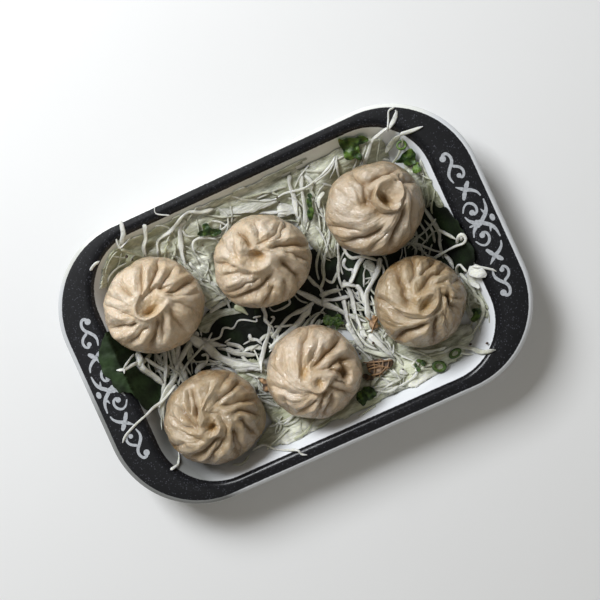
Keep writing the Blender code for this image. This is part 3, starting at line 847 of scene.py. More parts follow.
def smooth_skin(momo, angles, distances):
    """Points of the unfolded dumpling, at angles round the knot and distances over the skin from it."""
    share = steady_curve(SECTION_PLACES, SECTION_SHARES, distances)
    level = steady_curve(SECTION_PLACES, SECTION_LEVELS, distances)
    waves = sum(high * np.cos(many * angles + at) for (many, high), at in zip(OUTLINE_WAVES, momo.wave))
    radius = oval_radius(momo.reach, angles) * (1.0 + waves)
    towards_knot = ease((1.0 - share) / 0.8) * ease((level - 0.3) / 0.5)
    low = ease(1.0 - np.abs(level - FLAP_LEVEL) / FLAP_SPAN)
    away = share * radius + momo.skirt[1] * flap_share(momo, angles) * low
    x = momo.centre[0] + momo.knot[0] * towards_knot + away * np.cos(angles)
    y = momo.centre[1] + momo.knot[1] * towards_knot + away * np.sin(angles)
    return np.stack([x, y, MOMO_BASE + momo.height * level], axis=-1)


def fold_line(path):
    """A fold's path laid out flat round the knot."""
    angles, distances = np.radians(path[::2]), np.array(path[1::2])
    flat = [*np.column_stack([distances * np.cos(angles), distances * np.sin(angles)])]
    run_in, run_out = flat[0] - flat[1], flat[-1] - flat[-2]
    flat.insert(0, flat[0] + run_in / np.linalg.norm(run_in) * FOLD_START)
    flat.append(flat[-1] + run_out / np.linalg.norm(run_out) * FOLD_FADE)
    return smooth_path(flat, 5)


def beside_line(line, x, y):
    """Signed distance from a line, left positive, and the share of the line's length alongside."""
    best, side, share = np.full(x.shape, np.inf), np.zeros(x.shape), np.zeros(x.shape)
    lengths = np.linalg.norm(np.diff(line, axis=0), axis=1)
    total = lengths.sum()
    passed = 0.0
    for (x_a, y_a), (x_b, y_b), length in zip(line, line[1:], lengths):
        run_x, run_y = (x_b - x_a) / length, (y_b - y_a) / length
        along = np.clip((x - x_a) * run_x + (y - y_a) * run_y, 0.0, length)
        away_x, away_y = x - x_a - along * run_x, y - y_a - along * run_y
        distance = np.hypot(away_x, away_y)
        nearer = distance < best
        best = np.where(nearer, distance, best)
        side = np.where(nearer, run_x * away_y - run_y * away_x, side)
        share = np.where(nearer, (passed + along) / total, share)
        passed += length
    return np.where(side < 0.0, -best, best), share


def fold_relief(fold, x, y, strength):
    """How far one fold draws the skin in along its line, and swells it on both sides."""
    depth, half_width, lean, path = fold
    across, share = beside_line(fold_line(path), x, y)
    steepness = np.where(across > 0.0, 1.0 - LEAN_EFFECT * lean, 1.0 + LEAN_EFFECT * lean)
    begins, ends = ease(share / FOLD_BEGINS), ease((1.0 - share) / FOLD_ENDS)
    reach = np.abs(across) / (half_width * steepness)
    (broad, broad_width), (sharp, sharp_width), (high, place, width) = BROAD_GROOVE, SHARP_GROOVE, SWELL
    groove = broad * np.exp(-reach / broad_width) + sharp * np.exp(-((reach / sharp_width) ** 2))
    swell = high * np.exp(-(((reach - place) / width) ** 2))
    return strength * depth * begins * ends * (swell - groove)


def oval_reach(middle, half_length, half_width, turn, x, y):
    """Place on an oval's own axes, where its edge is one."""
    cosine, sine = math.cos(math.radians(turn)), math.sin(math.radians(turn))
    away_x, away_y = x - middle[0], y - middle[1]
    along, across = away_x * cosine + away_y * sine, away_y * cosine - away_x * sine
    return along / half_length, across / half_width


def pit_relief(pit, x, y):
    """How far a pit sinks: it falls from its whole edge to one deepest point."""
    middle, half_length, half_width, turn, depth, deepest = pit
    u, v = oval_reach(middle, half_length, half_width, turn, x, y)
    low_u, low_v = oval_reach((0.0, 0.0), half_length, half_width, turn, *deepest)
    run_u, run_v = u - low_u, v - low_v
    square = run_u**2 + run_v**2 + 1e-9
    dot = low_u * run_u + low_v * run_v
    scale = (-dot + np.sqrt(dot**2 + square * (1.0 - low_u**2 - low_v**2))) / square
    reach = 1.0 / scale
    sunk = np.clip((PIT_RIM - reach) / PIT_SLOPE, 0.0, 1.0)
    heading = np.arctan2(run_v, run_u)
    streaks = np.sin(heading * 7.0 + reach * 2.5) + 0.6 * np.sin(heading * 12.0 - reach * 4.0)
    return -depth * ease(sunk) ** PIT_ROUNDNESS + STREAK_HEIGHT * streaks * sunk * (1.0 - sunk), reach


def lip_relief(lip, x, y):
    """How far the rolled lip round a pit stands up, highest towards one side."""
    middle, half_length, half_width, turn, height, width, high_side = lip
    u, v = oval_reach(middle, half_length, half_width, turn, x, y)
    reach = np.hypot(u, v)
    mean = (half_length + half_width) / 2
    across = (reach - 1.0) * mean / width
    angle = np.arctan2(y - middle[1], x - middle[0]) - math.radians(high_side)
    waves = (high * np.sin(angle * many + at) for (many, high), at in zip(LIP_WAVES, middle))
    return height * (0.5 + 0.5 * np.cos(angle)) ** LIP_FOCUS * sum(waves, 1.0) * np.exp(-(across**2))


def twist_of(folds):
    """How far the folds turn, in radians, for each doubling of their distance from the knot."""
    turns = []
    for _, _, _, path in folds:
        start, near, end, far = *path[:2], *path[-2:]
        if far > TWIST_LIMIT * near:
            turns.append(((end - start + 180.0) % 360.0 - 180.0) / math.log2(far / near))
    return math.radians(float(np.median(turns)))


def flow_of(momo, angles, distances):
    """Places that run along the folds: the same across a fold's length, different across its width."""
    turned = angles - twist_of(momo.folds) * np.log2(np.maximum(distances, 3.0) / 12.0)
    return np.stack([np.cos(turned), np.sin(turned), distances / 48.0], axis=-1)


def noise_at(places, shift):
    """Smooth noise at many places."""
    return np.array([noise.noise(Vector(place) + shift) for place in places])


def skin_noise(points, flow, distances, seed):
    """Low dents and drawn-out wrinkles of hand-worked dough."""
    shift = Vector((seed * 7.1, seed * 3.3, seed * 5.7))
    dents = sum(noise_at(points / size, shift) * depth for size, depth in DENTS)
    wrinkles = sum(noise_at(flow * close, shift) * depth for close, depth in WRINKLES)
    return dents + wrinkles * ease((distances - 4.0) / 8.0) * ease((42.0 - distances) / 14.0)


def skin_normals(momo, angles, distances):
    """Which way the smooth skin faces."""
    full = SECTION_PLACES[-1]
    further, nearer = np.clip(distances + PROBE, 0.0, full), np.clip(distances - PROBE, 0.0, full)
    downwards = smooth_skin(momo, angles, further) - smooth_skin(momo, angles, nearer)
    one_side = smooth_skin(momo, angles + PROBE_ANGLE, distances)
    around = one_side - smooth_skin(momo, angles - PROBE_ANGLE, distances)
    normals = np.cross(downwards, around)
    lengths = np.linalg.norm(normals, axis=1)
    normals[lengths > 1e-9] /= lengths[lengths > 1e-9][:, None]
    normals[0], normals[-1] = (0.0, 0.0, 1.0), (0.0, 0.0, -1.0)
    return normals


def all_folds(momo, x, y, seed, strength):
    """How far all of a dumpling's folds together move its skin, along lines that wander a little."""
    flat = np.column_stack([x, y, np.full(len(x), seed * 4.0)]) / WANDER_SIZE
    bent_x = x + FOLD_WANDER * noise_at(flat, Vector((0.0, 0.0, 0.0)))
    bent_y = y + FOLD_WANDER * noise_at(flat, Vector((31.0, 17.0, 0.0)))
    folded = sum(fold_relief(fold, bent_x, bent_y, strength) for fold in momo.folds)
    return np.where(folded < FOLD_LIMIT, FOLD_LIMIT + (folded - FOLD_LIMIT) * SLOW_SHARE, folded)


def closed_faces(rows):
    """The faces of a skin: a fan at the knot, rows of quads and a fan at the base."""
    following = [(i + 1) % MOMO_COLUMNS for i in range(MOMO_COLUMNS)]
    last = 1 + (rows - 1) * MOMO_COLUMNS
    base = last + MOMO_COLUMNS
    faces = [(0, 1 + i, 1 + j) for i, j in enumerate(following)]
    faces += [face[::-1] for face in ring_faces(rows, MOMO_COLUMNS, 1)]
    return faces + [(base, last + j, last + i) for i, j in enumerate(following)]


def momo_mesh(name, momo, seed, strength):
    """A dumpling's skin: a smooth bag folded, twisted and closed in its knot."""
    lower_rows = np.linspace(FOLDED_TO, SECTION_PLACES[-1], MOMO_LOWER_ROWS + 1)[1:-1]
    rows = np.concatenate((np.linspace(0.0, FOLDED_TO, MOMO_TOP_ROWS + 1)[1:], lower_rows))
    columns = np.arange(MOMO_COLUMNS) * math.tau / MOMO_COLUMNS
    distances, angles = np.meshgrid(rows, columns, indexing="ij")
    distances = np.concatenate(([0.0], distances.ravel(), [SECTION_PLACES[-1]]))
    angles = np.concatenate(([0.0], angles.ravel(), [0.0]))
    skin = smooth_skin(momo, angles, distances)
    x, y = distances * np.cos(angles), distances * np.sin(angles)
    folded = all_folds(momo, x, y, seed, strength)
    # painted shade deep in the folds, stored for the dough's colour
    fold_shade = np.clip((-folded - FOLD_SHADE_FROM) / FOLD_SHADE_RUN, 0.0, 1.0)
    golden, sunk = np.zeros(len(x)), np.zeros(len(x))
    for pit in momo.pits:
        drop, reach = pit_relief(pit, x, y)
        sunk += drop
        inside = ease((PIT_EDGE - reach) / PIT_RUN)
        if math.hypot(*pit[0]) > DARK_BEYOND:
            fold_shade = np.maximum(fold_shade, HOLLOW_SHADE * inside)
        else:
            # the gold inside a pit: partly the dough's colour, partly painted shade in the hollow
            golden = np.maximum(golden, inside * (1.0 if pit[2] < GOLDEN_BELOW else WIDE_GOLDEN))
    fold_shade = np.maximum(fold_shade, PIT_SHADE * ease((golden - 0.7) / 0.3))
    # darker low on the sides: partly soaked dough, partly painted shade
    side = ease((SIDE_BELOW - skin[:, 2]) / SIDE_RUN)
    raised = sum((lip_relief(lip, x, y) for lip in momo.lips), np.zeros(len(x)))
    flow = flow_of(momo, angles, distances)
    uneven = skin_noise(skin, flow, distances, seed) * ease((skin[:, 2] - MOMO_BASE) / EVEN_BASE)
    outwards = folded * (1.0 - SMOOTH_PITS * golden) + uneven
    moved = skin + skin_normals(momo, angles, distances) * outwards[:, None]
    moved[:, 2] = np.clip(moved[:, 2] + sunk + raised, MOMO_BASE, MOMO_TOP)
    mesh = mesh_from(name, moved, closed_faces(len(rows)))
    golden = np.maximum(golden, KNOT_GOLD * ease((KNOT_REACH - distances) / KNOT_RUN))
    for label, values in (("fold_shade", fold_shade), ("golden", golden), ("side", side)):
        store(mesh, label, values)
    stored = mesh.attributes.new("flow", "FLOAT_VECTOR", "POINT")
    stored.data.foreach_set("vector", flow.astype(np.float32).ravel())
    return mesh


def dough_finish(name, settings, tone, spots):
    """Steamed wholemeal dough: moist and faintly translucent, golden in the pits, partly its own colour and
    partly painted shade, with painted shade in the folds, and darker low on the sides, partly soaked and
    partly painted shade.
    """
    made, tree, shader, place = new_finish(name)
    pale, warm = darker(settings.dough, tone), darker(settings.warm_dough, tone)
    colour = mix_colour(tree, patches(tree, place, 95.0, 0.5, 0.2), pale, warm)
    golden_spots = times(tree, patches(tree, place, 210.0, 0.56, 0.12), spots * settings.golden_spots)
    colour = mix_colour(tree, golden_spots, colour, darker(settings.pit_colour, tone))
    mottled = times(tree, patches(tree, place, 620.0, 0.5, 0.2), 0.3)
    colour = mix_colour(tree, mottled, colour, warm)
    specks = node(tree, "TexVoronoi", {"Vector": place, "Scale": 900.0}).outputs["Distance"]
    bran = times(tree, remap(tree, specks, 0.30, 0.08), patches(tree, place, 260.0, 0.56, 0.08))
    bran = times(tree, bran, 0.35)
    colour = mix_colour(tree, bran, colour, BRAN_COLOUR)
    streaks = noise_node(tree, attribute(tree, "flow", "Vector"), 11.0, 3.0, 0.6)
    streaked = times(tree, remap(tree, streaks, 0.5, 0.8), 0.35)
    colour = mix_colour(tree, streaked, colour, warm)
    # darker and browner low on the sides: partly soaked dough, partly painted shade
    soaked = times(tree, attribute(tree, "side"), 0.34 + 0.66 * spots, True)
    soaked = times(tree, soaked, remap(tree, noise_node(tree, place, 150.0, 6.0), 0.38, 0.62, 0.35, 1.0))
    colour = mix_colour(tree, soaked, colour, darker(settings.soaked_and_shaded_colour, tone))
    # painted shade in the folds: a darker, browner colour where they are deep
    painted_fold_shade = math_node(tree, "POWER", attribute(tree, "fold_shade"), 1.3)
    painted_fold_shade = times(tree, painted_fold_shade, settings.fold_shade_tint)
    colour = mix_colour(tree, painted_fold_shade, colour, darker(settings.fold_shade_colour, tone))
    # golden pits, partly painted shade in the hollows, and the faint gold round the knot
    golden = times(tree, attribute(tree, "golden"), 0.92)
    wet = patches(tree, place, 420.0, 0.5 - 0.06 * spots, 0.08)
    bumpy = node(tree, "Bump", {"Height": streaks, "Distance": 0.0003, "Strength": 1.0}).outputs["Normal"]
    beads = times(tree, noise_node(tree, place, 1500.0, 2.0), 0.5)
    beads = plus(tree, noise_node(tree, place, 520.0, 2.0), beads)
    glazed = node(tree, "Bump", {"Height": beads, "Distance": 0.0011, "Normal": bumpy}).outputs["Normal"]
    feed(tree, shader, {
        "Base Color": mix_colour(tree, golden, colour, darker(settings.pit_colour, tone)),
        "Roughness": remap(tree, wet, 0.0, 1.0, 0.52, 0.30),
        "Coat Weight": remap(tree, wet, 0.0, 1.0, 0.05, 1.0),
        "Normal": grain(tree, place, 480.0, 1500.0, 0.0004, bumpy),
        "Coat Normal": glazed,
        **DOUGH_COAT,
        **DOUGH_DEPTH,
    })
    return made


class MomoPlateDumplings(bpy.types.PropertyGroup):
    """Folds and colours of the dumplings"""

    fold_strength: bpy.props.FloatProperty(name="Fold strength",
        description="How deep the folds are, as a share of their own depth", subtype="FACTOR", min=0.0,
        max=3.0, default=1.9)
    dough: bpy.props.FloatVectorProperty(name="Dough", description="Colour of the steamed dough",
        default=(0.615, 0.528, 0.425), **COLOUR)
    warm_dough: bpy.props.FloatVectorProperty(name="Warm dough", description="Colour of its darker patches",
        default=(0.555, 0.43, 0.285), **COLOUR)
    # colour low on the sides: partly soaked dough, partly painted shade
    soaked_and_shaded_colour: bpy.props.FloatVectorProperty(name="Soaked sides",
        description="Colour low on the sides, where the dough is soaked", default=(0.29, 0.175, 0.075),
        **COLOUR)
    # colour of the painted shade deep in a fold
    fold_shade_colour: bpy.props.FloatVectorProperty(name="Creases", description="Colour deep in a fold",
        default=(0.26, 0.15, 0.055), **COLOUR)
    # the gold in the pits is partly the dough's colour and partly painted shade; it also colours the fat
    # spots
    pit_colour: bpy.props.FloatVectorProperty(name="Pits", description="Colour inside the knots",
        default=(0.50, 0.325, 0.14), **COLOUR)
    golden_spots: bpy.props.FloatProperty(name="Golden spots",
        description="How strongly the dough is spotted with the filling's fat", subtype="FACTOR", min=0.0,
        max=1.0, default=0.5)
    # how strongly the painted shade in the folds shows
    fold_shade_tint: bpy.props.FloatProperty(name="Crease tint",
        description="How strongly the folds are tinted", subtype="FACTOR", min=0.0, max=1.0, default=0.85)


class MOMO_OT_build_dumplings(bpy.types.Operator):
    """Builds the six dumplings, each with its own folds and knot"""

    bl_idname = "momo.build_dumplings"
    bl_label = "Dumplings"

    def execute(self, context):
        settings = context.scene.momo_dumplings
        for seed, (name, momo) in enumerate(MOMOS.items(), 1):
            finish = dough_finish("dough_of_" + name, settings, momo.tone, momo.spots)
            mesh = momo_mesh(name + "_skin", momo, seed, settings.fold_strength)
            add_piece(name + "_skin", mesh, finish, (name,))
        return {"FINISHED"}


# ---------------------------------------------------------------- thin pieces that lie on the food

# The edge of the well's floor and the top of its wall: half length, half width and radius, then the height.
WELL_FLOOR, WELL_FLOOR_LEVEL = (83.0, 58.8, 26.0), 7.6
WELL_TOP, WELL_TOP_LEVEL = (91.5, 67.0, 30.6), 23.2
WELL_BOTTOM = 6.05
FLOOR_CURVE = 3.5  # how far in from its edge the floor begins to rise
RIM_TOP = 25.5
LEAF_THICKNESS = 0.45
LEAF_EDGE_POINTS = 132
LEAF_RINGS = 22
RAGGED_SIZE = 3.1

# Leaves: how far they stand off, how crumpled and how light they are, their middle and their outline.
LEAVES = {
    "leaf_floor": (
        (0.25, 0.35, 0.05, (-31.9, 1.1), (-55, 8, -46, 14, -32, 18, -20, 16, -11, 6, -9, -6, -16, -15,
            -28, -20, -42, -17, -52, -8)),
        (0.62, 0.35, 0, (-1, -2), (-22, 4, -13, 10, -1, 12, 13, 11, 22, 4, 24, -6, 15, -15, 1, -18, -13,
            -14, -21, -6)),
        (0.98, 0.3, 0.05, (27.8, 4.2), (7, 6, 13, 18, 24, 24, 36, 23, 46, 14, 49, 2, 44, -12, 32, -20,
            20, -18, 9, -8)),
        (0.3, 0.3, 0.05, (56.6, 0.1), (38, 2, 44, 10, 57, 13, 69, 11, 77, 5, 79, -4, 71, -10, 57, -12,
            44, -8)),
        (0.3, 0.3, 0.05, (-64.9, -2), (-83, 0, -77, 9, -65, 12, -52, 10, -46, 2, -48, -8, -59, -14, -73,
            -14, -82, -8)),
    ),
    "leaf_left": (
        (0.75, 0.8, 0.62, (-86.5, 4.1), (-90.7, 26.4, -93.7, 24.7, -96.7, 22, -99.3, 18.5, -100.7, 15,
            -101.7, 11, -101.3, 7, -99.9, 3.5, -99.3, 0, -98.1, -4, -95.2, -5.2, -92.3, -7.5, -91.3, -11,
            -91.1, -15, -89.6, -18.1, -86.5, -17.9, -81.4, -16.4, -74.2, -11.3, -70, -3, -70, 8.3, -76.2,
            17.6, -85, 23.6)),
    ),
    "leaf_right": (
        (0.75, 0.8, 0.25, (83.4, -2), (82.8, 18.6, 84.3, 20.6, 86.4, 19, 87.5, 15.9, 88.8, 15.6, 90.2,
            13.1, 91.2, 9, 91.9, 4, 92.7, -2, 93.3, -8, 93.9, -12, 92.5, -15.4, 91.2, -18.7, 87.8, -20.8,
            83.4, -20.5, 77.2, -16.4, 71, -9.2, 69, -1, 72.1, 7.3, 77.2, 12.4)),
    ),
}


def border_distance(x, y, half_length, half_width, radius):
    """Distance from the edge of a rectangle with round corners, negative inside."""
    beyond_x, beyond_y = np.abs(x) - (half_length - radius), np.abs(y) - (half_width - radius)
    corner = np.hypot(np.maximum(beyond_x, 0.0), np.maximum(beyond_y, 0.0))
    return corner + np.minimum(np.maximum(beyond_x, beyond_y), 0.0) - radius


def plate_height(x, y):
    """Height of the inside of the plate at places, a little on the safe side."""
    out = border_distance(x, y, *WELL_FLOOR)
    short = border_distance(x, y, *WELL_TOP)
    share = np.clip(out / np.maximum(out - short, 1e-6), 0.0, 1.0)
    wall = WELL_FLOOR_LEVEL + (WELL_TOP_LEVEL - WELL_FLOOR_LEVEL) * share
    floor = WELL_BOTTOM + (WELL_FLOOR_LEVEL - WELL_BOTTOM) * ease((out + FLOOR_CURVE) / FLOOR_CURVE)
    return np.where(short > 0.0, RIM_TOP, np.where(out > 0.0, wall, floor))


def rough(x, y, size, seed):
    """Smooth noise between about -0.5 and 0.5 at places in millimetres."""
    return np.array([noise.noise(Vector((a / size, b / size, seed * 3.7))) for a, b in zip(x, y)])


def lengths_along(path):
    """How far along a path each of its points is."""
    return np.concatenate(([0.0], np.cumsum(np.linalg.norm(np.diff(path, axis=0), axis=1))))


def spaced(path, count, around=False):
    """That many points evenly spaced along a path, or round it when it closes."""
    lengths = lengths_along(path)
    at = np.linspace(0.0, lengths[-1], count, endpoint=not around)
    return np.stack([np.interp(at, lengths, values) for values in path.T], axis=1)


def closed_path(points, count, ragged, seed):
    """Points evenly round a smooth closed outline, with an uneven edge."""
    points = np.reshape(points, (-1, 2))
    even = spaced(smooth_path([*points[-2:], *points, *points[:3]], 8)[16:-16], count, around=True)
    out = even - even.mean(axis=0)
    size = np.linalg.norm(out, axis=1)
    return even + out / size[:, None] * (ragged * 2.0 * rough(*even.T, RAGGED_SIZE, seed))[:, None]


def shell_mesh(name, edge, middle, heights, thickness, rings):
    """A thin closed piece with an outline: rings from its middle to its edge, over and under."""
    count = len(edge)
    shares = (np.arange(1, rings + 1) / rings) ** 0.85
    flat = np.concatenate([[middle], *[middle + (edge - middle) * share for share in shares]])
    top = heights(*flat.T)
    rim = np.concatenate(([0.0], np.repeat(shares, count)))
    half = thickness / 2 * (1.0 - 0.6 * rim**6)
    total = len(flat)
    last = 1 + (rings - 1) * count
    faces = ring_faces(rings, count, total + 1) + [face[::-1] for face in ring_faces(rings, count, 1)]
    for i in range(count):
        j = (i + 1) % count
        faces += [(0, 1 + i, 1 + j), (total, total + 1 + j, total + 1 + i)]
        faces.append((last + i, last + total + i, last + total + j, last + j))
    points = np.column_stack([np.concatenate([flat, flat]), np.concatenate([top + half, top - half])])
    mesh = mesh_from(name, points, faces)
    return mesh, np.concatenate([flat, flat])


def leaf_mesh(name, parts, crumple):
    """Crumpled leaves lying over the plate's inside and rim, one over another."""
    made = []
    for order, (lift, creased, light, middle, outline) in enumerate(parts, 1):
        edge = closed_path(outline, LEAF_EDGE_POINTS, 0.5, order + len(outline))
        middle = np.array(middle)

        def heights(x, y, lift=lift, creased=creased, order=order, middle=middle):
            folds = np.abs(rough(x, y, 9.0, order)) * 1.6 + rough(x, y, 3.4, order + 5) * 0.6
            around = np.arctan2(y - middle[1], x - middle[0]) * 6.0
            veins = np.abs(np.sin(around + rough(x, y, 12.0, order) * 2.0))
            raised = crumple * creased * (folds + 0.25 * veins)
            return plate_height(x, y) + lift + LEAF_THICKNESS / 2 + raised

        mesh, flat = shell_mesh(f"{name}_{order}", edge, middle, heights, LEAF_THICKNESS, LEAF_RINGS)
        spread = rough(*flat.T, 8.0, order + 9)
        store(mesh, "light", np.clip(light + spread * 0.9, 0.0, 1.0))
        made.append(mesh)
    return joined(name, made)


def leaf_finish(settings):
    """Dark soft leaf, half matte and a little lighter where it turns to the light."""
    made, tree, shader, place = new_finish("dark_leaf")
    mottled = patches(tree, place, 420.0, 0.55, 0.18)
    share = times(tree, attribute(tree, "light"), remap(tree, mottled, 0.0, 1.0, 1.0, 0.62))
    feed(tree, shader, {
        "Base Color": mix_colour(tree, share, settings.leaf_dark, settings.leaf_light),
        "Roughness": remap(tree, mottled, 0.0, 1.0, 0.62, 0.8),
        "IOR": 1.28,
        "Normal": grain(tree, place, 700.0, 2600.0, 0.00012),
    })
    return made


class MomoPlateLeaves(bpy.types.PropertyGroup):
    """Colours and crumpling of the dark leaves"""

    crumple: bpy.props.FloatProperty(name="Crumple", description="How deeply the leaves are crumpled",
        subtype="FACTOR", min=0.0, max=2.0, default=1.0)
    leaf_dark: bpy.props.FloatVectorProperty(name="Dark leaf", description="Colour of a leaf in its folds",
        default=(0.0045, 0.0062, 0.0038), **COLOUR)
    leaf_light: bpy.props.FloatVectorProperty(name="Light leaf",
        description="Colour of a leaf where it is lighter", default=(0.030, 0.056, 0.020), **COLOUR)


class MOMO_OT_build_leaves(bpy.types.Operator):
    """Lays the dark leaves over the plate"""

    bl_idname = "momo.build_leaves"
    bl_label = "Leaves"

    def execute(self, context):
        settings = context.scene.momo_leaves
        finish = leaf_finish(settings)
        for name, parts in LEAVES.items():
            mesh = leaf_mesh(name + "_blade", parts, settings.crumple)
            add_piece(name + "_blade", mesh, finish, (name,))
        return {"FINISHED"}


# ---------------------------------------------------------------- the shredded cabbage

CORE_BOTTOM = 8.0
CORE_STEP = 0.7
CORE_HALF = (91.0, 66.5)
CORE_THINNEST = 0.2
CORE_LIFT = 3.6
CORE_MARGIN = 0.3
# The banks: how far out they begin, over how far they rise, and how much.
FAR_BANK = (42.0, 16.0, 3.8)
SIDE_BANKS = (70.0, 14.0, 1.8)
NEAR_BANK = (46.0, 14.0, 4.2)
NEAR_BANK_ENDS = (70.0, 30.0)  # how far from the middle it has ended, and over what length it fades
LUMPS, CREASES, RIBS = 1.7, 1.0, 0.45  # how strong each size of relief is
# How far below the rim the clinging sheets end, how much that varies, and over what width they fade.
RIM_GAP, RIM_WANDER, RIM_RUN = 1.3, 1.6, 1.2
CLING_LIFT, CLING_CREASES, CLING_RIBS = 1.4, 0.9, 0.6  # their thickness and relief
UNDER_FROM, UNDER_RISE = 0.78, 0.35  # a dumpling's underside rises from this share of its radius
BESIDE_FROM, BESIDE_RISE = 0.6, 1.6  # the free height beside it rises from this far beyond its edge
BASE_GAP = 0.25
SHEET_SPACING = 1.5
SHEET_EDGE = 2.2  # how ragged the matted sheets are, and over what width they fade
PLAIN_TONE, PLAIN_GREEN = 0.55, 0.35
OVAL_EDGE = 0.28  # the share of an oval's reach over which it fades
CELL = 0.5  # size of a cell of the map of heights the shreds are laid on
MAP_HALF = (116.0, 78.0)
STRAND_TOP = 31.0
SAG = 0.012  # how far a shred may hang below the straight line between its neighbours
SAG_ROUNDS = 40
LAID_GAP = 0.05
LAID_SHARE = 0.35  # how much of a shred's thickness raises the heap: wet shreds sink into one another
LOOSE_STEPS = 4
LOOSE_SPACES = 12  # how many parts a loose shred is laid in
LOOSE_BEND = 0.45  # how strongly loose shreds bend one way and how much they wobble, in radians
LOOSE_WOBBLE = 0.18
LOOSE_TINT = 0.2  # how much their green varies
LOOSE_MARGIN = 1.0  # how far they stay from the top of the wall
WAVE_LENGTH = 14.0  # how long a stretch of a shred one of its gentle waves takes
BLUNT_LENGTH = 1.3  # the stretch over which a shred's first end widens
RIBBON_FROM = 1.5  # loose shreds wider than this are ribbons
GAP_SHARE = 0.12  # how much of a loose shred may cross a gap
ENDS_TAPER = (0.9, 2.6)  # over how many widths a shred's last end narrows
FINE_SHAPE, RIBBON_SHAPE, BROAD_SHAPE = 0.34, 0.17, 0.08  # thickness as a share of the width
STRAND_SIDES, BROAD_SIDES = 6, 10
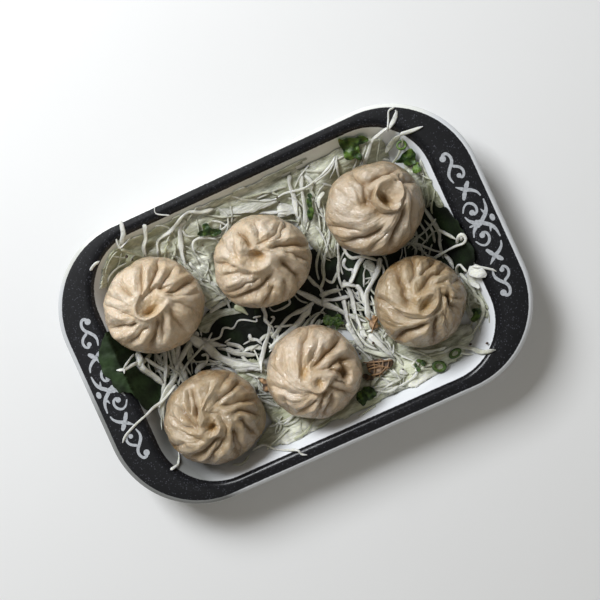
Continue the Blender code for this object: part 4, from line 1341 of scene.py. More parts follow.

# Shreds that are seen one by one: width, how pale, how green, and the path as x, y, x, y and so on. How
# pale a shred is also holds painted shade: shreds lying in shade are given lower values.
FINE_STRANDS = (
    (1.3, 0.95, 0, (-85.6, 10.8, -88.5, 8.6, -90.9, 6.5)),
    (1.6, 0.95, 0, (-84.9, 6.2, -87.8, 6, -90.6, 5.5, -94.4, 6.8)),
    (1, 0.9, 0, (-90.8, 5.7, -91.6, 3.8)),
    (1.4, 0.6, 0.1, (-70.1, 6.2, -70.9, 0.1, -71.5, -7.1)),
    (1.4, 0.8, 0.1, (-51.4, 0.6, -57.6, -2, -62.7, -4.3, -67.9, -8.2, -73, -13.3)),
    (1.2, 0.6, 0.1, (-62.7, -4.1, -58.1, -6.4, -54, -7.8)),
    (1.2, 0.5, 0.1, (-58.6, 2.1, -58.6, -2)),
    (1.5, 0.75, 0, (-55.5, -4.1, -52.4, -5.1, -53.5, -8.2, -57.1, -10.2)),
    (1, 0.6, 0.1, (-64.8, -5.1, -64.8, -11.3)),
    (1, 0.6, 0.1, (-61.3, -5.1, -63.7, -10.7)),
    (1.6, 0.9, 0, (-74, -12.3, -79.2, -15.4, -83.3, -17.4, -87.1, -18.3, -90.6, -20.1, -94.6, -21.4,
        -99.6, -23.2, -104.6, -25.4, -107.5, -27.9)),
    (1.5, 0.9, 0, (-49.1, -14.1, -46.6, -12.3)),
    (1.4, 0.9, 0, (-88.9, 13.6, -86.7, 16.3)),
    (1, 0.8, 0, (-50.2, 9.3, -51, 4.8)),
    (1.2, 0.55, 0.1, (-76.1, 7.3, -77.1, 2.1, -73, -2, -68.9, -9.2)),
    (1.2, 0.8, 0, (-48.3, 1.1, -43.2, 0.6, -41.1, 2.1, -39.1, 4.2, -37, 3.7, -34.9, 2.1, -32.9, 2.6,
        -30.8, 4.2, -28.8, 4.2, -25.7, 2.6, -23.6, 1.1, -21.6, 0.1, -21.2, 1.7)),
    (1.8, 0.9, 0, (-48.8, 1.3, -45, 4.8)),
    (1, 0.85, 0, (-41.4, -3.1, -37.3, -2.4)),
    (1, 0.75, 0, (-22.6, 2.7, -18.3, 1.9)),
    (0.9, 0.8, 0, (-32.9, -7.7, -28.4, -7.6)),
    (1.5, 0.85, 0, (-31, -12.5, -25.7, -11)),
    (1.2, 0.95, 0, (-16, -4.1, -12.5, -1.8, -14, -0.6)),
    (1.2, 0.9, 0, (-16.4, -3.4, -15, -6.1, -15.6, -8.6)),
    (1.2, 0.85, 0, (-14.4, -5.9, -10.3, -7.7, -4.6, -9.2)),
    (1.2, 0.75, 0, (-12.3, 4.2, -11.3, 1.7, -8.2, 1.1, -5.1, 1.1, -2, 1.7, -1.4, 4.2)),
    (1.2, 0.5, 0.1, (2.1, 6.2, 3.6, 1.1, 6.7, -2)),
    (1.5, 0.7, 0.1, (27.8, 19.6, 23.7, 15.5, 21.6, 12.4, 20.1, 8.3, 20.1, 5.2, 22.7, 2.5, 25.7, 4.7,
        28.3, 6.7)),
    (1.4, 0.5, 0.2, (24.7, 21.7, 20.1, 16, 18.1, 11.4, 17, 6.2)),
    (1.5, 0.55, 0.2, (16, 2.1, 19.6, 6.2, 22.1, 11.4, 25.7, 17.5)),
    (1, 0.45, 0.2, (2.1, -11.3, 6.2, -9.4, 10.3, -9.2, 13.4, -11.3)),
    (1, 0.4, 0.2, (0, -12.3, 5.2, -14.3, 9.3, -13.7)),
    (1, 0.4, 0.2, (6.2, -16.4, 9.3, -12.3)),
    (1.6, 0.9, 0, (34, 19.6, 30.9, 12.4, 28.8, 8.3, 27.3, 4.2, 26.3, 0.1, 25.7, -3.4)),
    (1.8, 1, 0, (35.6, 18.6, 35.4, 13.4, 37.1, 9.9, 40.1, 8.9, 43.2, 7.8, 46.3, 5.2, 48.7, 2.5)),
    (1.2, 0.9, 0, (48.8, 2.1, 49.8, -1.5, 48.4, -5.6)),
    (1, 0.8, 0, (42.8, 3.6, 39.6, 0.1, 38.1, -3, 36.4, -6.5)),
    (1, 0.8, 0, (41.2, 3.1, 43.2, 0.1, 45.3, -2.6)),
    (1.2, 0.7, 0.1, (51.5, 6.2, 52.9, 2.1, 51.9, -4.1)),
    (1, 0.7, 0.1, (54.5, 3.6, 50.8, 5.2)),
    (0.9, 0.75, 0.1, (70, -0.4, 75.1, 2.1, 81.3, 4.6, 83.3, 3.1)),
    (1.3, 0.8, 0.1, (64.8, 5.2, 71, 2.1, 74.1, -1, 78.2, -5.1, 82.3, -7.8)),
    (1.2, 0.7, 0.1, (68.9, 3.6, 75.1, 6.2, 79.2, 7.7, 84.3, 10.1)),
    (1.2, 0.7, 0.1, (72, 2.1, 72, -2, 73, -5.1, 76.6, -8.8)),
    (1.2, 0.7, 0.1, (76.1, 12.4, 77.2, 5.2, 75.7, 1.1)),
    (1.5, 0.8, 0.1, (82.7, 4.8, 85.2, 1.1, 88.1, -3.6)),
    (1.3, 0.65, 0.2, (79.2, 12.4, 80.2, 5.2, 79.2, -1)),
    (1, 0.6, 0.2, (66.9, 6.2, 68.9, 0.1, 66.9, -3)),
    (1.6, 1, 0, (75.1, -7.8, 81.3, -7.3, 86.9, -6.7, 90.3, -6.8, 92, -5, 91.4, -2.6, 89.5, -3, 87.9, -5.7)),
    (1.3, 0.85, 0.1, (82.9, -21.5, 83.1, -17.4, 85.2, -16.1, 86, -18.8, 87.1, -21.7)),
    (1.2, 1, 0, (89.8, -19.1, 93.8, -21.9, 97.8, -24.9, 99.4, -26.5)),
    (1, 0.4, 0.3, (25.7, -13.3, 29.9, -16.4, 35, -18.5)),
    (1, 0.35, 0.3, (24.7, -16.4, 28.8, -19.5, 31.9, -24.6)),
    (1.4, 1, 0, (28.8, -28.1, 32.9, -28.7, 36.4, -27.7)),
    (1.1, 0.95, 0, (-67.3, 67.4, -67.7, 64.5, -67.3, 62.6, -64.2, 63.8, -61, 65.8)),
    (1.9, 0.6, 0.3, (-67.6, 62.4, -65.2, 59.4, -61.1, 55.3, -56.5, 50.8)),
    (1.4, 0.95, 0, (-86.2, 58.6, -83.1, 60.3, -79.6, 60.8)),
    (1.9, 0.9, 0, (-57, 49.7, -52.4, 53.2, -50.3, 58.3, -46.8, 59.9, -41.7, 60.4, -36.3, 62.2, -30.7,
        64.7, -27.6, 64.7, -23, 62.6, -16.7, 61.7)),
    (1.2, 0.85, 0, (-35.8, 58.3, -34.9, 54.7, -31.1, 53)),
    (1.3, 0.95, 0, (-35.4, 44, -35.2, 48.6, -33.5, 51.2, -30.4, 51.4, -26.4, 49.7, -21.2, 46.5)),
    (0.75, 0.9, 0, (-37.8, 67.2, -42.8, 70.1, -43.5, 71.8, -42.4, 74.4)),
    (1.4, 0.7, 0.2, (-58.1, 52.7, -54, 52.2, -50.9, 54.2)),
    (1.1, 0.5, 0.4, (-74.9, 54.9, -71.6, 58.3, -69.4, 60.7)),
    (1.5, 0.6, 0.2, (-46.8, 50.2, -43.7, 45, -41.1, 37.9)),
    (1.3, 0.6, 0.2, (-39.7, 48.1, -37, 45, -36, 38.9)),
    (1, 0.7, 0.1, (-12.5, 50.2, -10, 54.2, -8.4, 59.8)),
    (1, 0.95, 0, (36.6, 61.9, 30.9, 58.8, 25.4, 54.2)),
    (1.3, 0.9, 0, (12.5, 52.8, 19.7, 54, 29.9, 51.8, 38.1, 53.6, 46.2, 56.8, 50.9, 59.8)),
    (1, 0.85, 0, (35, 52.2, 44.2, 54.2, 50.3, 58.3)),
    (1.4, 0.7, 0.1, (34, 59.8, 38.1, 57.3, 41.1, 55.9)),
    (0.8, 0.1, 0.3, (12.1, 42.4, 16.6, 40.5, 20, 37.7)),
    (1.2, 0.95, 0, (10.9, 43.4, 12.5, 45.7, 15.6, 44)),
    (0.9, 0.95, 0, (79.5, 60.2, 81.9, 64.8, 83.8, 68.2, 87.2, 68.5)),
    (1.9, 1, 0, (84.2, 55.4, 89.8, 54.5, 96.2, 54)),
    (1, 0.85, 0, (43.8, 51.2, 48.3, 55.3, 51.8, 59.8)),
    (1.2, 0.85, 0, (48.3, 48.7, 48.8, 53.2, 50.5, 57.9)),
    (1, 0.9, 0, (72.4, 49.5, 76.3, 47.3)),
    (1.1, 0.8, 0, (-95.6, 24.9, -91.2, 27.1, -89.2, 28.3)),
    (1.5, 0.9, 0.1, (24.1, -24.6, 24.7, -30.8, 26.1, -34.9, 29.9, -39)),
    (1.5, 0.85, 0.1, (27.4, -24.6, 27.2, -30.8, 28.8, -35.9)),
    (1.2, 1, 0, (38.5, -39.6, 36.2, -43.6)),
    (1.2, 1, 0.1, (38.1, -32.4, 35, -34.3)),
    (1.5, 1, 0, (39.5, -46.4, 43.2, -50.1, 45.6, -53.1)),
    (1.2, 1, 0, (45.8, -51.1, 42.6, -52.7, 44.2, -54.8, 46.4, -53.1)),
    (1.6, 1, 0, (43.8, -54.8, 41.7, -58.2, 36, -59.7, 30.9, -59.9)),
    (1.4, 0.9, 0.1, (20.7, -56.6, 25.8, -59.7, 31.9, -59.3)),
    (1.4, 0.9, 0.1, (-29.8, -54.1, -21.9, -51.5)),
    (1.4, 0.9, 0, (-50.9, -59.7, -43.7, -59.3, -39.2, -63, -33.5, -65.5, -27.8, -67.3, -26.8, -69.8,
        -24.2, -71.4)),
    (1.2, 0.6, 0.2, (-62.5, -61.8, -57.4, -63.3, -52.9, -61.1)),
    (1.7, 0.85, 0, (-90.6, -50.4, -86, -49.8)),
    (1.4, 0.7, 0.4, (43.2, -44.9, 48.3, -48, 53.4, -54.1)),
    (1.4, 0.5, 0.3, (70.8, -51.1, 76.9, -51.1, 82, -47)),
)
RIBBONS = (
    (3.6, 0.95, 0, (-85, 12, -84, 8, -85, 4, -84, 0, -82, -4, -80, -9, -79, -12)),
    (2.2, 0.75, 0.2, (-86, 4, -82, 6, -79, 8)),
    (2, 0.8, 0.1, (-81, 7, -79, 1, -76, -4, -78, -8)),
    (1.6, 0.55, 0.1, (-82, 5, -82, 0, -80, -6)),
    (2.3, 0.85, 0.1, (-72, 6, -74, 0, -76, -5, -79, -10, -83, -15)),
    (3, 0.7, 0.15, (-68, 7, -69, -1, -69, -8, -70, -14)),
    (2.6, 0.75, 0.1, (-65, 6, -67, -2, -67, -7, -68, -13)),
    (3, 0.85, 0.1, (-52, 8, -60, 3, -65, -1, -69, -4, -73, -9, -78, -13, -82, -17, -85, -22, -87, -27,
        -88, -32)),
    (3, 1, 0, (-62, -11, -59, -9, -54, -8)),
    (5.2, 0.95, 0, (-56, 8, -54, 3, -51, -1, -49, -6, -45, -11, -41, -15, -35, -19, -29, -23)),
    (3.8, 0.85, 0, (-52, 3, -46, -2, -41, -5)),
    (2.4, 0.8, 0, (-41, -4, -36, -7, -34, -10, -33, -12)),
    (2.8, 0.85, 0, (-42, -6, -38, -11, -32, -14, -27, -16)),
    (2, 0.8, 0, (-43, -16, -38, -18, -33, -20, -28, -22)),
    (2, 0.75, 0.1, (-42, -18, -35, -21, -28, -24)),
    (3.4, 0.35, 0.9, (-29, 12, -26, 9, -24, 5)),
    (2.6, 0.95, 0, (-42, 15, -35, 16, -28, 16)),
    (3.2, 0.5, 0.2, (-42, 18, -35, 19, -29, 19)),
    (2.2, 0.9, 0, (-28, -4, -28, -7, -25, -9, -24, -12)),
    (2.3, 1, 0, (-16, 6, -16, 2, -17, -1, -16, -4, -18, -8, -22, -12, -25, -16, -28, -20, -30, -25)),
    (3.8, 1, 0, (-21, -16, -15, -14, -9, -12, -3, -10, 2, -7, 8, -4)),
    (2.3, 0.85, 0, (-18, -11, -12, -8, -6, -5, -1, -4, 5, -4, 11, -3)),
    (3, 0.9, 0, (3, 8, 7, 3, 10, -1, 12, -4, 16, -8, 20, -12, 23, -16, 27, -20, 30, -23)),
    (2.1, 0.6, 0.1, (12, 11, 14, 6, 16, 2, 15, -3, 13, -6)),
    (2.4, 0.55, 0.1, (14, -1, 20, -2, 26, -3)),
    (2.4, 0.95, 0, (14, -4, 20, -6, 25, -7, 28, -8)),
    (2.3, 0.9, 0, (24, -8, 23, -13, 22, -20, 22, -29, 23, -35)),
    (2.3, 1, 0, (29, 1, 29, -6, 28, -12, 27, -18, 26, -26, 25, -33)),
    (2, 0.9, 0, (34, 11, 32, 8, 33, 5, 35, 4, 33, 0, 31, -2)),
    (2.3, 1, 0, (44, 8, 41, 7, 38, 5, 35, 2, 32, -1, 29, -3)),
    (3.4, 1, 0, (26, -1, 30, -2, 34, -5)),
    (2.5, 1, 0, (33, -4, 34, -7, 34, -12, 34, -16)),
    (3, 1, 0, (50, 4, 47, -1, 42, -6, 38, -9, 36, -11, 34, -16, 32, -23)),
    (2, 0.75, 0.2, (81, 21, 82, 12, 83, 6, 83, 2, 81, -2, 80, -7)),
    (3, 1, 0, (90, -5, 91, -3)),
    (2, 0.8, 0.1, (81, -8, 82, -12, 82, -17)),
    (2, 0.6, 0.2, (84, -20, 85, -26, 86, -32, 85, -37)),
    (2.4, 0.9, 0, (-69, 63, -66, 65, -63, 68, -62, 71, -61, 75)),
    (2.6, 0.9, 0, (-51, 68, -53, 65, -55, 62, -58, 59, -59, 54)),
    (2.6, 0.9, 0, (-32, 62, -36, 60, -39, 55, -41, 49, -43, 43, -44, 39)),
    (1.8, 0.95, 0, (-7, 52, -1, 51, 5, 50, 12, 47, 17, 45)),
    (2.6, 1, 0, (26, 61, 24, 57, 23, 51, 22, 46, 20, 39)),
    (2.3, 0.95, 0, (31, 59, 29, 53, 27, 47, 25, 41, 23, 35)),
    (2, 0.85, 0, (33, 58, 34, 53, 32, 49)),
    (2.2, 0.75, 0.1, (38, 46, 34, 44, 32, 40)),
    (2.1, 0.95, 0, (61, 50, 67, 55, 71, 59, 75, 60, 80, 61)),
    (2.2, 0.95, 0, (79, 60, 84, 63, 87, 66, 87, 67)),
    (2.6, 0.7, 0.1, (75, 52, 80, 54, 85, 55)),
    (2, 1, 0, (-96, 25, -91, 27)),
    (3, 0.85, 0.1, (21, -20, 22, -28, 23, -35)),
    (4.2, 1, 0, (29, -30, 32, -36, 34, -41, 36, -46)),
    (2.2, 0.85, 0.3, (36, -46, 29, -45, 23, -43, 18, -39)),
    (2.4, 0.8, 0.3, (36, -47, 29, -49, 23, -51, 19, -54)),
    (2.6, 0.75, 0.4, (23, -35, 30, -41, 35, -45)),
    (3, 1, 0, (35, -53, 39, -56)),
    (2.2, 0.8, 0.2, (60, -53, 67, -54, 73, -57, 77, -60, 83, -62)),
    (3, 0.6, 0.2, (-87, -50, -86, -46, -86, -39, -86, -32)),
    (2, 0.7, 0.3, (46, -46, 50, -49, 55, -51, 63, -52)),
    (2, 0.6, 0.3, (85, -32, 87, -37, 86, -43, 81, -49)),
)
BROAD_PIECES = (
    (5.8, 0.3, 0.3, (-50, 7, -45, 11, -40, 12, -34, 11, -29, 9, -27, 8)),
    (4.4, 0.5, 0.1, (42, 5, 44, 1, 43, -3)),
    (5.6, 1, 0, (88, -20, 91, -23, 94, -26)),
    (5, 0.95, 0.1, (89, -21, 88, -26, 89, -31)),
    (4.6, 0.7, 0.1, (-15, 58, -6, 56, 4, 54, 14, 52)),
    (7, 0.95, 0, (12, 48, 19, 45, 23, 40)),
)
BANK_SHEETS = (
    (12, 0.55, 0.45, (-46, -51, -38, -53, -28, -51)),
    (10, 0.6, 0.4, (-45, -58, -35, -59, -23, -59)),
    (8, 0.85, 0.15, (-30, -61, -19, -62, -7, -61)),
    (6.5, 0.6, 0.35, (-13, -64, 0, -64, 12, -64, 20, -62)),
    (8, 0.5, 0.6, (1, -61, 10, -63, 19, -61)),
    (9, 0.8, 0.3, (20, -55, 28, -55, 38, -52)),
    (9, 0.65, 0.6, (42, -57, 50, -56, 58, -55)),
    (5, 0.85, 0.2, (40, -62, 50, -63, 58, -62)),
    (8, 0.55, 0.4, (63, -56, 71, -56, 79, -52)),
    (8, 0.5, 0.45, (81, -50, 86, -43, 87, -34)),
    (7, 0.4, 0.7, (-82, 51, -77, 57, -68, 62)),
    (8, 0.3, 0.6, (-74, 52, -68, 57, -62, 61)),
    (9, 0.5, 0.45, (-60, 61, -52, 63, -44, 62)),
    (8, 0.5, 0.5, (-48, 55, -40, 54, -32, 56)),
    (9, 0.55, 0.35, (-27, 61, -17, 60, -7, 60)),
    (8, 0.5, 0.25, (-5, 60, 7, 61, 20, 60)),
    (8, 0.6, 0.25, (34, 57, 44, 59, 54, 60)),
    (8, 0.5, 0.35, (67, 61, 75, 58, 81, 54)),
    (6, 0.6, 0.3, (83, 51, 86, 45, 87, 37)),
    (5, 0.5, 0.3, (85, 31, 87, 24, 87, 17)),
    (5, 0.55, 0.3, (-88, 41, -85, 49, -80, 55)),
)

# Loose filling: middle, half sizes, flow, spread, how many, widths, lengths, how pale, and how green. Where
# the filling lies in shade, its lower paleness is painted shade.
FILLING = (
    ((-64, 56), (21, 8), 40, 30, 9, (0.7, 1.3), (10, 20), (0.5, 0.8), 0.4),
    ((-29, 54.5), (18, 8.5), 70, 45, 15, (0.6, 1.4), (10, 20), (0.6, 0.95), 0.2),
    ((7, 54), (22, 8.5), -10, 25, 8, (0.6, 1.4), (12, 26), (0.5, 0.8), 0.2),
    ((42, 52), (18, 8), 30, 30, 9, (0.6, 1.4), (12, 22), (0.6, 0.9), 0.2),
    ((72, 51), (13, 8), 42, 25, 6, (0.6, 1.4), (10, 18), (0.5, 0.8), 0.3),
    ((-38, 33), (6, 15), -65, 25, 18, (0.7, 1.6), (10, 20), (0.45, 0.85), 0.2),
    ((28.5, 30), (7, 16), 78, 20, 26, (0.7, 1.8), (12, 24), (0.6, 0.9), 0.2),
    ((-68, -4), (14, 8), 72, 24, 26, (0.8, 1.8), (9, 17), (0.4, 0.75), 0.15),
    ((-40, -13), (12, 8), -40, 20, 14, (1, 2.4), (9, 18), (0.6, 0.9), 0.1),
    ((-8, -12), (14, 4), 24, 16, 18, (0.8, 2), (10, 18), (0.6, 0.95), 0.1),
    ((32, -12), (9, 16), 86, 26, 24, (0.7, 1.6), (10, 22), (0.5, 0.9), 0.1),
    ((40, 4), (9, 8), 40, 40, 15, (0.7, 1.5), (8, 16), (0.6, 1), 0.1),
    ((73, 3), (10, 11), 70, 60, 20, (0.6, 1.1), (9, 17), (0.45, 0.8), 0.2),
    ((29, -40), (8, 15), 96, 26, 17, (0.7, 1.6), (9, 20), (0.6, 0.9), 0.2),
    ((33, -54), (12, 6), 10, 35, 5, (0.7, 1.5), (9, 18), (0.6, 0.9), 0.3),
    ((-34, -55), (13, 7), 15, 30, 9, (0.6, 1.5), (9, 18), (0.6, 0.9), 0.3),
    ((0, -61.5), (22, 3), 2, 14, 4, (0.7, 1.6), (10, 22), (0.4, 0.7), 0.4),
    ((60, -54.5), (20, 6), -14, 22, 9, (0.7, 1.8), (10, 20), (0.45, 0.8), 0.4),
    ((85, -36), (4, 13), 82, 20, 8, (0.7, 1.6), (9, 18), (0.35, 0.65), 0.4),
    ((-84.5, -28), (2.5, 8), 76, 16, 4, (0.7, 1.4), (9, 18), (0.3, 0.5), 0.3),
    ((-88, 40), (3, 12), 80, 14, 4, (0.7, 1.4), (9, 16), (0.4, 0.7), 0.3),
    ((86, 26), (4, 12), 84, 16, 6, (0.7, 1.4), (9, 16), (0.3, 0.5), 0.35),
    ((-31, -34), (7, 11), -50, 25, 16, (0.7, 1.5), (8, 16), (0.45, 0.8), 0.1),
    ((17, -23), (6, 10), -50, 30, 14, (0.7, 1.3), (8, 15), (0.15, 0.5), 0.3),
)

# Gaps where the dark leaves show, as ovals: middle and half sizes. No loose filling crosses them.
GAPS = (
    (-32, 3, 15, 7.5), (-3, -1, 12, 4.5), (21.5, 8, 5.5, 9), (47, 2.5, 9, 4), (88, 4, 5, 15),
    (-92, 4, 10, 20), (-55, -3, 4, 4), (33, 1, 3.5, 5),
)

# Wet matted cabbage, and where it clings to the wall, as ovals: middle and half sizes.
MATTED = (
    (0, 68, 110, 29), (28, -70, 86, 33), (-38, 38, 11, 24), (28.5, 38, 11, 26), (30, -42, 11, 22),
    (-28, -42, 10, 17), (90, 32, 11, 24), (-92, 40, 12, 26), (90, -40, 12, 22), (-35, -24, 9, 9),
)
CLINGING = (
    (-86, 62, 48, 34), (-20, 68, 70, 9), (94, 26, 11, 20), (-93, 30, 9, 20), (92, -38, 9, 14),
)

# How pale the matted cabbage is: middle, radius and how much paler or darker than the rest. The darker
# places are partly browned bits and partly painted shade where the cabbage lies in shade.
MATTED_TONES = (
    (-40, 57, 18, 0.40), (-2, 60, 12, 0.18), (15, 55, 10, -0.15), (76, 54, 18, 0.18),
    (-28, -59, 16, -0.14), (6, -62, 14, 0.3), (76, -52, 14, 0.2), (88, 22, 16, -0.6),
    (-35, -23, 10, -0.5), (-76, 60, 16, -0.06), (-30, -37, 10, -0.5), (19, -26, 9, -0.7),
)

BELOW_SHREDS = (*(name + "_blade" for name in LEAVES), "cabbage_core")


def in_ovals(ovals, x, y):
    """How far places are inside any oval of a table, from 0 at its edge to 1."""
    inside = np.zeros(np.shape(x))
    for middle_x, middle_y, half_x, half_y in ovals:
        reach = np.hypot((x - middle_x) / half_x, (y - middle_y) / half_y)
        inside = np.maximum(inside, ease((1.0 - reach) / OVAL_EDGE))
    return inside


def bank_sheets(x, y):
    """The wet leaf pieces matted into the banks: how far they stand up, how pale and how green they are."""
    raised, tone, green = np.zeros(len(x)), np.full(len(x), PLAIN_TONE), np.full(len(x), PLAIN_GREEN)
    ragged = SHEET_EDGE * rough(x, y, 4.0, 53)
    for order, (width, pale, tint, path) in enumerate(BANK_SHEETS):
        line = even_path(path, SHEET_SPACING)
        away = np.min(np.hypot(x[:, None] - line[:, 0], y[:, None] - line[:, 1]), axis=1) + ragged
        inside = ease((width / 2 - away) / SHEET_EDGE + 0.5)
        raised += inside * (0.5 + 0.3 * (order % 3) - raised)
        tone += inside * (pale + 0.12 - tone)
        green += inside * (tint - green)
    return raised, tone, green


def dumpling_reach(momo, x, y):
    """Distance of places from a dumpling's middle, and its radius towards them."""
    away_x, away_y = x - momo.centre[0], y - momo.centre[1]
    angle = np.arctan2(away_y, away_x)
    radius = oval_radius(momo.reach, angle) + momo.skirt[1] * flap_share(momo, angle)
    return np.hypot(away_x, away_y), radius


def under_dumplings(x, y):
    """The greatest height at places that clears every dumpling's rounded underside."""
    free = np.full(np.shape(x), np.inf)
    for momo in MOMOS.values():
        distance, radius = dumpling_reach(momo, x, y)
        under = UNDER_RISE * np.maximum(distance - UNDER_FROM * radius, 0.0)
        beside = BESIDE_RISE * np.maximum(distance - radius - BESIDE_FROM, 0.0)
        free = np.minimum(free, MOMO_BASE - BASE_GAP + under + beside)
    return free


def bank(out, start, run, rise):
    """How much a bank stands up at a distance from the plate's middle line."""
    return rise * ease((out - start) / run)


def core_height(x, y):
    """Height of the wet matted cabbage: banked at the sides, clinging to the wall, none in the gaps."""
    shape = np.shape(x)
    flat_x, flat_y = np.ravel(x), np.ravel(y)
    lumps = rough(flat_x, flat_y, 9.0, 31).reshape(shape)
    folds = rough(flat_x * 0.45 + flat_y * 0.5, flat_y * 1.1 - flat_x * 0.25, 3.6, 37).reshape(shape)
    ribs = 0.5 - np.abs(rough(flat_x * 0.3 - flat_y * 0.6, flat_y + flat_x * 0.5, 2.2, 39).reshape(shape))
    sheets = bank_sheets(flat_x, flat_y)[0].reshape(shape)
    mask = in_ovals(MATTED, x, y)
    for momo in MOMOS.values():
        distance, radius = dumpling_reach(momo, x, y)
        mask = np.maximum(mask, ease((radius - 3.0 - distance) / 4.0))
    banks = bank(y, *FAR_BANK) + bank(np.abs(x), *SIDE_BANKS)
    ended, fading = NEAR_BANK_ENDS
    banks += bank(-y, *NEAR_BANK) * ease((ended - np.abs(x)) / fading)
    relief = CORE_LIFT + banks + LUMPS * lumps + CREASES * folds + RIBS * ribs + sheets
    height = CORE_BOTTOM - CORE_MARGIN + mask * relief
    to_rim = border_distance(x, y, *WELL_TOP) + RIM_GAP + RIM_WANDER * lumps
    clings = in_ovals(CLINGING, x, y) * ease(-to_rim / RIM_RUN)
    sheet = plate_height(x, y) + clings * (CLING_LIFT + CLING_CREASES * folds + CLING_RIBS * ribs)
    return np.minimum(np.maximum(height, sheet), under_dumplings(x, y) - CORE_MARGIN)


def places_of(mesh):
    """The points of a mesh in millimetres."""
    places = np.empty(len(mesh.vertices) * 3, np.float32)
    mesh.vertices.foreach_get("co", places)
    return places.reshape(-1, 3) / MM


def sheet_faces(thick):
    """Faces over, under and round the cells of a grid whose four corners are all thick enough."""
    kept = thick[:-1, :-1] & thick[1:, :-1] & thick[:-1, 1:] & thick[1:, 1:]
    total, row = thick.size, thick.shape[1]
    faces, edges = [], {}
    for i, j in np.argwhere(kept).tolist():
        a, b = i * row + j, (i + 1) * row + j
        c, d = b + 1, a + 1
        faces += [(a, b, c, d), (a + total, d + total, c + total, b + total)]
        for start, end in ((a, b), (b, c), (c, d), (d, a)):
            if not edges.pop((end, start), False):
                edges[(start, end)] = True
    return faces + [(start, start + total, end + total, end) for start, end in edges]


def core_mesh(name):
    """The matted cabbage: a grid kept where it is thick enough, closed underneath and round its edges."""
    x, y = np.meshgrid(*(np.arange(-half, half + 0.01, CORE_STEP) for half in CORE_HALF), indexing="ij")
    top = core_height(x, y)
    bottom = np.maximum(CORE_BOTTOM, plate_height(x, y) + CORE_THINNEST)
    faces = sheet_faces(top - bottom > CORE_THINNEST)
    points = [np.column_stack([x.ravel(), y.ravel(), level.ravel()]) for level in (top, bottom)]
    made = mesh_from(name, np.concatenate(points), faces)
    bm = bmesh.new()
    bm.from_mesh(made)
    bmesh.ops.delete(bm, geom=[vert for vert in bm.verts if not vert.link_faces], context="VERTS")
    bm.to_mesh(made)
    bm.free()
    outward(made)
    places = places_of(made)
    x, y = places[:, 0], places[:, 1]
    _, tone, green = bank_sheets(x, y)
    tone += 0.3 * rough(x, y, 7.0, 41) + 0.3 * rough(x * 0.4 - y * 0.5, y + x * 0.4, 2.0, 47)
    # paler and darker places; the darker ones are partly browned bits and partly painted shade
    for middle_x, middle_y, radius, change in MATTED_TONES:
        tone += change * ease(1.0 - np.hypot(x - middle_x, y - middle_y) / radius)
    store(made, "tone", np.clip(tone, 0.02, 1.0))
    store(made, "green", np.clip(green + 0.5 * rough(x, y, 14.0, 43), 0.0, 1.0))
    return made


class HeightMap:
    """Heights of everything laid so far, on a grid over the plate."""

    def __init__(self, pieces):
        self.columns = np.arange(-MAP_HALF[0], MAP_HALF[0] + CELL, CELL)
        self.lines = np.arange(-MAP_HALF[1], MAP_HALF[1] + CELL, CELL)
        x, y = np.meshgrid(self.columns, self.lines, indexing="ij")
        self.heights = plate_height(x, y)
        self.ceiling = np.minimum(under_dumplings(x, y), STRAND_TOP)
        for name in pieces:
            places = places_of(bpy.data.objects[name].data)
            i, j = self.cells(places[:, 0], places[:, 1])
            for step_x in (-1, 0, 1):
                for step_y in (-1, 0, 1):
                    at = (np.clip(i + step_x, 0, x.shape[0] - 1), np.clip(j + step_y, 0, x.shape[1] - 1))
                    np.maximum.at(self.heights, at, places[:, 2])

    def cells(self, x, y):
        """The cells that hold places."""
        i = np.clip(np.rint((x - self.columns[0]) / CELL).astype(int), 0, len(self.columns) - 1)
        j = np.clip(np.rint((y - self.lines[0]) / CELL).astype(int), 0, len(self.lines) - 1)
        return i, j

    def lay(self, path, half_width, thickness):
        """Rests a shred on the heap like a slack string, and adds it to the heap: returns its heights."""
        run = np.gradient(path, axis=0)
        side = np.stack([-run[:, 1], run[:, 0]], axis=1)
        side /= np.maximum(np.linalg.norm(side, axis=1), 1e-6)[:, None]
        shares = np.linspace(-0.8, 0.8, 2 + int(half_width))
        spots = [path + side * half_width * share for share in shares]
        cells = [self.cells(spot[:, 0], spot[:, 1]) for spot in spots]
        support = np.max([self.heights[cell] for cell in cells], axis=0) + thickness / 2 + LAID_GAP
        free = np.min([self.ceiling[cell] for cell in cells], axis=0) - thickness / 2
        heights = np.minimum(support, free)
        floor = heights.copy()
        for _ in range(SAG_ROUNDS):
            middle = (heights[:-2] + heights[2:]) / 2 - SAG
            heights[1:-1] = np.maximum(floor[1:-1], middle)
        heights = np.minimum(heights, free)
        for _ in range(2):
            heights[1:-1] = (heights[:-2] + 2 * heights[1:-1] + heights[2:]) / 4
        for cell in cells:
            np.maximum.at(self.heights, cell, heights + thickness * LAID_SHARE)
        return heights


class Skeleton:
    """The middle lines of the shreds of one kind, with what each point needs."""

    def __init__(self, shape):
        self.shape = shape
        self.points = []
        self.edges = []
        self.values = {"half_width": [], "tilt": [], "tone": [], "green": []}

    def add(self, points, half_widths, tilts, tone, green):
        """Adds one shred."""
        first = len(self.points)
        self.points.extend(map(tuple, points))
        self.edges.extend((first + i, first + i + 1) for i in range(len(points) - 1))
        self.values["half_width"].extend(np.asarray(half_widths) * MM)
        self.values["tilt"].extend(tilts)
        self.values["tone"].extend([tone] * len(points))
        self.values["green"].extend([green] * len(points))

    def mesh(self, name):
        """The lines as a mesh of edges."""
        made = bpy.data.meshes.new(name)
        made.from_pydata((np.array(self.points) * MM).tolist(), self.edges, [])
        for label, values in self.values.items():
            store(made, label, values)
        return made


def even_path(points, spacing):
    """A smooth path through points, with points at an even spacing."""
    fine = smooth_path(points, 6)
    return spaced(fine, max(int(round(lengths_along(fine)[-1] / spacing)), 3) + 1)


